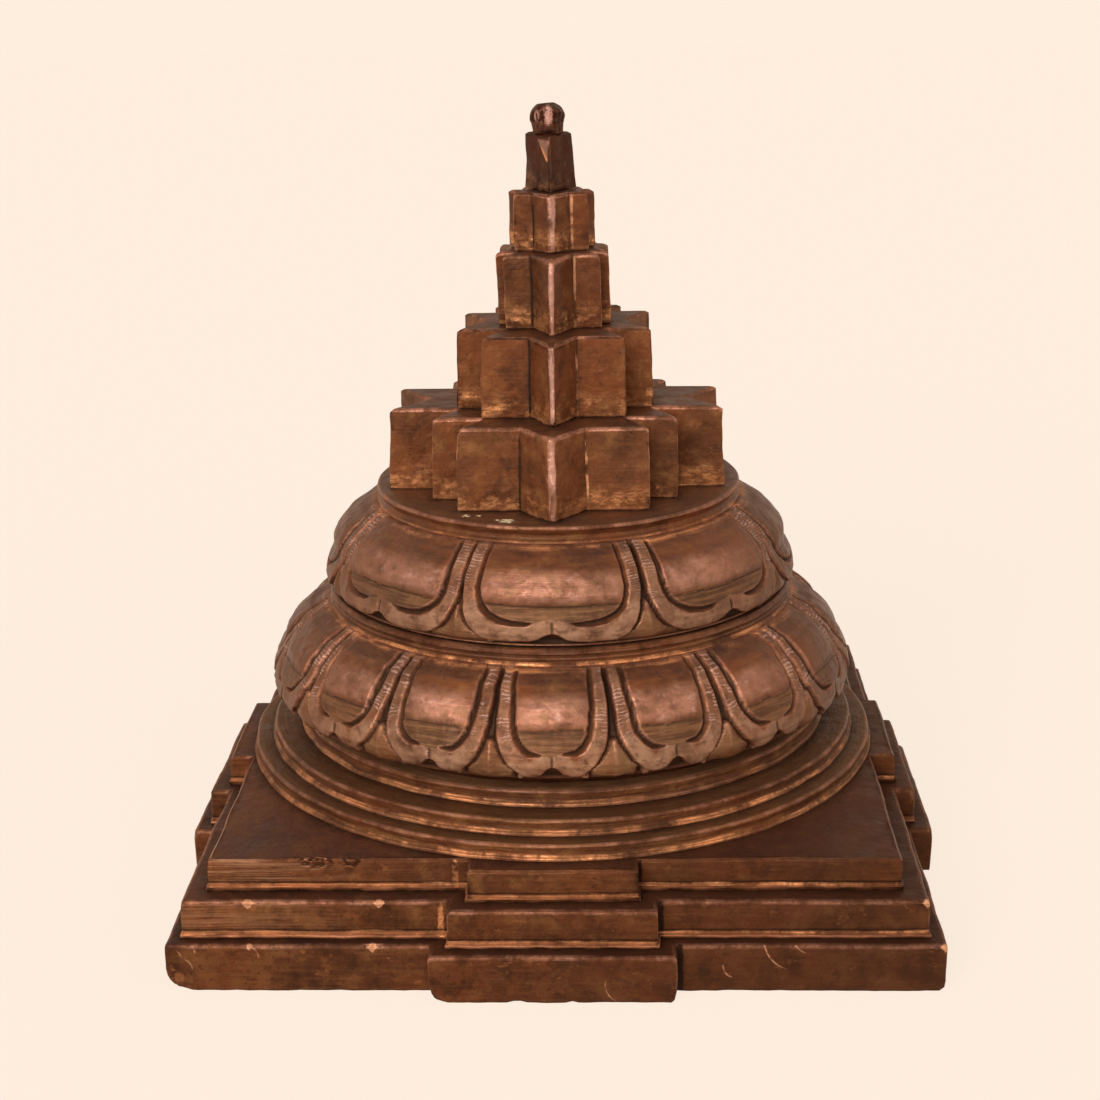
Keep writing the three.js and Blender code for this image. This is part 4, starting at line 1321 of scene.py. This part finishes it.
# %% Square steps
for seed, (node, own) in enumerate(STEPS.items()):
    step = casting_copy(node)
    soften(step, low_of(node))
    cut(step, (0, 0, top_of(node) - 1.2 * MM), (0, 0, 1))
    slice_up(step, 2.5 * MM)
    refine(step, [place for place, size in own["nicks"]] or BURR_PLACES)
    if node == "bhupura_lower_step":
        wear_round(step, HALF_BASE, left_radius=9.5, right_radius=3.5, front_only=False)
        wear_round(step, HALF_GATE, left_radius=7.0, right_radius=2.5, front_only=True)
    shake(step, 0.75 * MM, 26 * MM, seed * 5 + 120)
    shake(step, 0.3 * MM, 7 * MM, seed * 5 + 160)
    wear(step, 0.6 * MM, 5 * MM, seed + 130)
    for v in step.verts:
        if v.co.z < RESTING:
            v.co.z = 0
    for place, size in own["nicks"]:
        knock_off(step, place, size * 1.6, FRONT_EDGE_FACING, -NICK_DEPTH)
    if node == "bhupura_upper_step":
        for place, reach in BURRS:
            ruffle(step, place, reach, 7)
    finish = patina(
        node + "_patina", foot=low_of(node) + 2.2 * MM if seed else None, strokes=0.4,
        foot_size=1.2, tone=own["tone"], rose_share=0.7, blotch=own["blotch"], edge_share=0.5,
        bare_from=0.5, gloss=0.12, seed=seed * 5.0 + 60, extra=step_finish(node, own),
    )
    finish_piece(node + "_worn", step, finish, node, spread=1, above=own["seat"])

# %% [markdown]
# ## Ball on top
# The ball was cast round and then filed by hand to seven rough flats, the way a maker trues a
# knob. So it is spun as a sphere with a neck, and what stands over each flat is pressed down to it.

# %% Ball on top
ball_low, ball_top = low_of("bindu_finial"), top_of("bindu_finial")
BALL_RADIUS = 7.25 * MM
NECK_RADIUS = 6.2 * MM
BALL_MIDDLE = 6.4 * MM
BALL_COLUMNS = 96
BALL_TONE = (0.20, 0.13, 0.11)
# Two painted highlights on the ball's front flats: a place and a size.
BALL_HIGHLIGHTS = (((-6.0, -4.6, 317.4), 2.4), ((-1.3, -6.2, 318.2), 4.0))
FLAT_SHARE = 0.95
FILED_FLATS = (
    (-0.75, -0.66, 0.05, 6.0), (0.1, -0.98, 0.18, 5.9), (0.85, -0.5, -0.05, 6.0),
    (0.45, -0.25, 0.85, 5.2), (-0.1, 0.1, 1, 5.3), (0.3, 0.95, 0.1, 6.2), (-0.8, 0.6, 0.2, 6.3),
)
ball_outline = [(0.02 * MM, ball_low), (NECK_RADIUS, ball_low)]
start = -math.acos(NECK_RADIUS / BALL_RADIUS)
for i in range(1, 20):
    turn = start + (math.pi / 2 - start) * i / 20
    ball_outline.append((
        BALL_RADIUS * math.cos(turn),
        ball_low + BALL_MIDDLE + (ball_top - ball_low - BALL_MIDDLE) * math.sin(turn),
    ))
ball_outline.append((0.02 * MM, ball_top))
ball = spun(ball_outline, BALL_COLUMNS)
ball_centre = Vector((0, 0, ball_low + BALL_MIDDLE))
for nx, ny, nz, reach in FILED_FLATS:
    facing = Vector((nx, ny, nz)).normalized()
    for v in ball.verts:
        over = (v.co - ball_centre).dot(facing) - reach * MM
        if over > 0:
            v.co -= facing * over * FLAT_SHARE
shake(ball, 0.8 * MM, 5 * MM, 150)
shake(ball, 0.3 * MM, 2 * MM, 153)
lean(ball)


def ball_finish(f):
    """Two painted highlights on the flats in front, a little polished too."""
    ragged = f.noise(2.6, detail=5, rough=0.7, squeeze=(1, 1, 0.6))
    rubbed = 0.0
    for place, size in BALL_HIGHLIGHTS:
        rubbed = f.most(rubbed, f.spot(place, size, ragged, (1.5, 0.6, 0.75)))
    rubbed = f.times(rubbed, f.ramp(ragged, 0.44, 0.56, 0.0, 1.0))
    f.polish(f.times(rubbed, 0.3))
    # Painted highlight: rose on the two patches.
    f.lay(RIDGE_ROSE, rubbed, 0.85)


ball_material = patina(
    "bindu_patina", seed=90.0, rose_share=0.25, tone=BALL_TONE, gloss=0.10, extra=ball_finish,
)
finish_piece("bindu_finial_filed", ball, ball_material, "bindu_finial")

# %% [markdown]
# ## Parts underneath
# Rod, washer and nut are plain steel, and the plate inside the lowest step is left as it was cast.
# They are hardly ever seen, so they keep their shapes from the frame and only get a finish.

# %% Steel and the parts underneath
DARK_STEEL = (0.33, 0.33, 0.32)
LIGHT_STEEL = (0.46, 0.455, 0.44)


def steel():
    f = Finish("plain_steel")
    grain = f.noise(1.5, detail=5, squeeze=(1, 1, 0.1))
    cloud = f.noise(6, detail=3)
    f.put(f.mix(f.ramp(cloud, 0.35, 0.65), DARK_STEEL, LIGHT_STEEL), f.shader.inputs["Base Color"])
    f.put(1.0, f.shader.inputs["Metallic"])
    f.put(f.ramp(grain, 0.3, 0.7, 0.3, 0.5), f.shader.inputs["Roughness"])
    f.put(f.bump(grain, 0.1), f.shader.inputs["Normal"])
    return f.material


def dress(node, finish):
    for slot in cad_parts[node].material_slots:
        slot.material = finish


steel_finish = steel()
for node in ("tie_rod", "base_washer", "base_nut"):
    dress(node, steel_finish)
dress("base_plate", patina("base_plate_patina", seed=55.0))

# %% [markdown]
# ## Floor, world and lamps
# A pale floor runs out to the horizon, in the colour of the backdrop. To the camera it is mostly
# its own colour, with a soft shadow left on it. One very wide lamp stands far off at the front
# left, no higher than a third of the way up, and a weaker one at the right: both reach in under
# the petals, as in the photograph.

# %% Floor and world
BACKDROP = (0.992, 0.855, 0.730)
FLOOR_GLOW_SHARE = 0.86
FLOOR_GLOW = 1.048
FLOOR_HALF = 6.0
FILL_COLOUR = (1.0, 0.97, 0.94)
FILL_STRENGTH = 0.28


def empty_tree(owner):
    owner.use_nodes = True
    owner.node_tree.nodes.clear()
    return owner.node_tree.nodes, owner.node_tree.links


def glowing(nodes, kind, colour, strength):
    node = nodes.new(kind)
    node.inputs["Color"].default_value = (*colour, 1)
    node.inputs["Strength"].default_value = strength
    return node.outputs[0]


def seen_directly(nodes, links):
    """1 for what the camera, a reflection or glass sees, 0 for what only lights the scene."""
    path = nodes.new("ShaderNodeLightPath")
    most = path.outputs["Is Camera Ray"]
    for name in ("Is Glossy Ray", "Is Transmission Ray"):
        larger = nodes.new("ShaderNodeMath")
        larger.operation = "MAXIMUM"
        links.new(most, larger.inputs[0])
        links.new(path.outputs[name], larger.inputs[1])
        most = larger.outputs[0]
    return most


def blended(nodes, links, share, first, second, output_kind):
    """Mixes two shaders by share, as what the material or the world shows."""
    blend = nodes.new("ShaderNodeMixShader")
    for socket, target in zip((share, first, second), blend.inputs):
        links.new(socket, target)
    links.new(blend.outputs[0], nodes.new(output_kind).inputs["Surface"])


bm = bmesh.new()
bmesh.ops.create_grid(bm, x_segments=8, y_segments=8, size=FLOOR_HALF)
floor_mesh = bpy.data.meshes.new("floor")
bm.to_mesh(floor_mesh)
bm.free()
floor = bpy.data.objects.new("floor", floor_mesh)
bpy.context.scene.collection.objects.link(floor)
floor_material = bpy.data.materials.new("pale_floor")
nodes, links = empty_tree(floor_material)
matt = nodes.new("ShaderNodeBsdfDiffuse")
matt.inputs["Color"].default_value = (*BACKDROP, 1)
glow = glowing(nodes, "ShaderNodeEmission", BACKDROP, FLOOR_GLOW)
share = nodes.new("ShaderNodeMath")
share.operation = "MULTIPLY"
share.inputs[1].default_value = FLOOR_GLOW_SHARE
links.new(seen_directly(nodes, links), share.inputs[0])
blended(nodes, links, share.outputs[0], matt.outputs[0], glow, "ShaderNodeOutputMaterial")
floor_mesh.materials.append(floor_material)

world = bpy.data.worlds.new("studio")
bpy.context.scene.world = world
nodes, links = empty_tree(world)
fill = glowing(nodes, "ShaderNodeBackground", FILL_COLOUR, FILL_STRENGTH)
backdrop = glowing(nodes, "ShaderNodeBackground", BACKDROP, 1.0)
blended(nodes, links, seen_directly(nodes, links), fill, backdrop, "ShaderNodeOutputWorld")
bpy.context.scene.view_settings.view_transform = "Standard"


# %% Lamps
def far_lamp(name, across, height, wide, power, colour):
    """A lamp far away. across and height are angles in degrees from straight in front."""
    data = bpy.data.lights.new(name, "SUN")
    data.angle = math.radians(wide)
    data.energy = power
    data.color = colour
    lamp = bpy.data.objects.new(name, data)
    bpy.context.scene.collection.objects.link(lamp)
    a, h = math.radians(across), math.radians(height)
    towards = Vector((math.sin(a) * math.cos(h), -math.cos(a) * math.cos(h), math.sin(h)))
    lamp.matrix_world = towards.to_track_quat("Z", "Y").to_matrix().to_4x4()


far_lamp("key_lamp", across=-22, height=28, wide=36, power=2.35, colour=(1.0, 0.97, 0.93))
far_lamp("side_lamp", across=45, height=24, wide=50, power=0.45, colour=(1.0, 0.95, 0.90))

# %% Last update of the scene
bpy.context.view_layer.update()
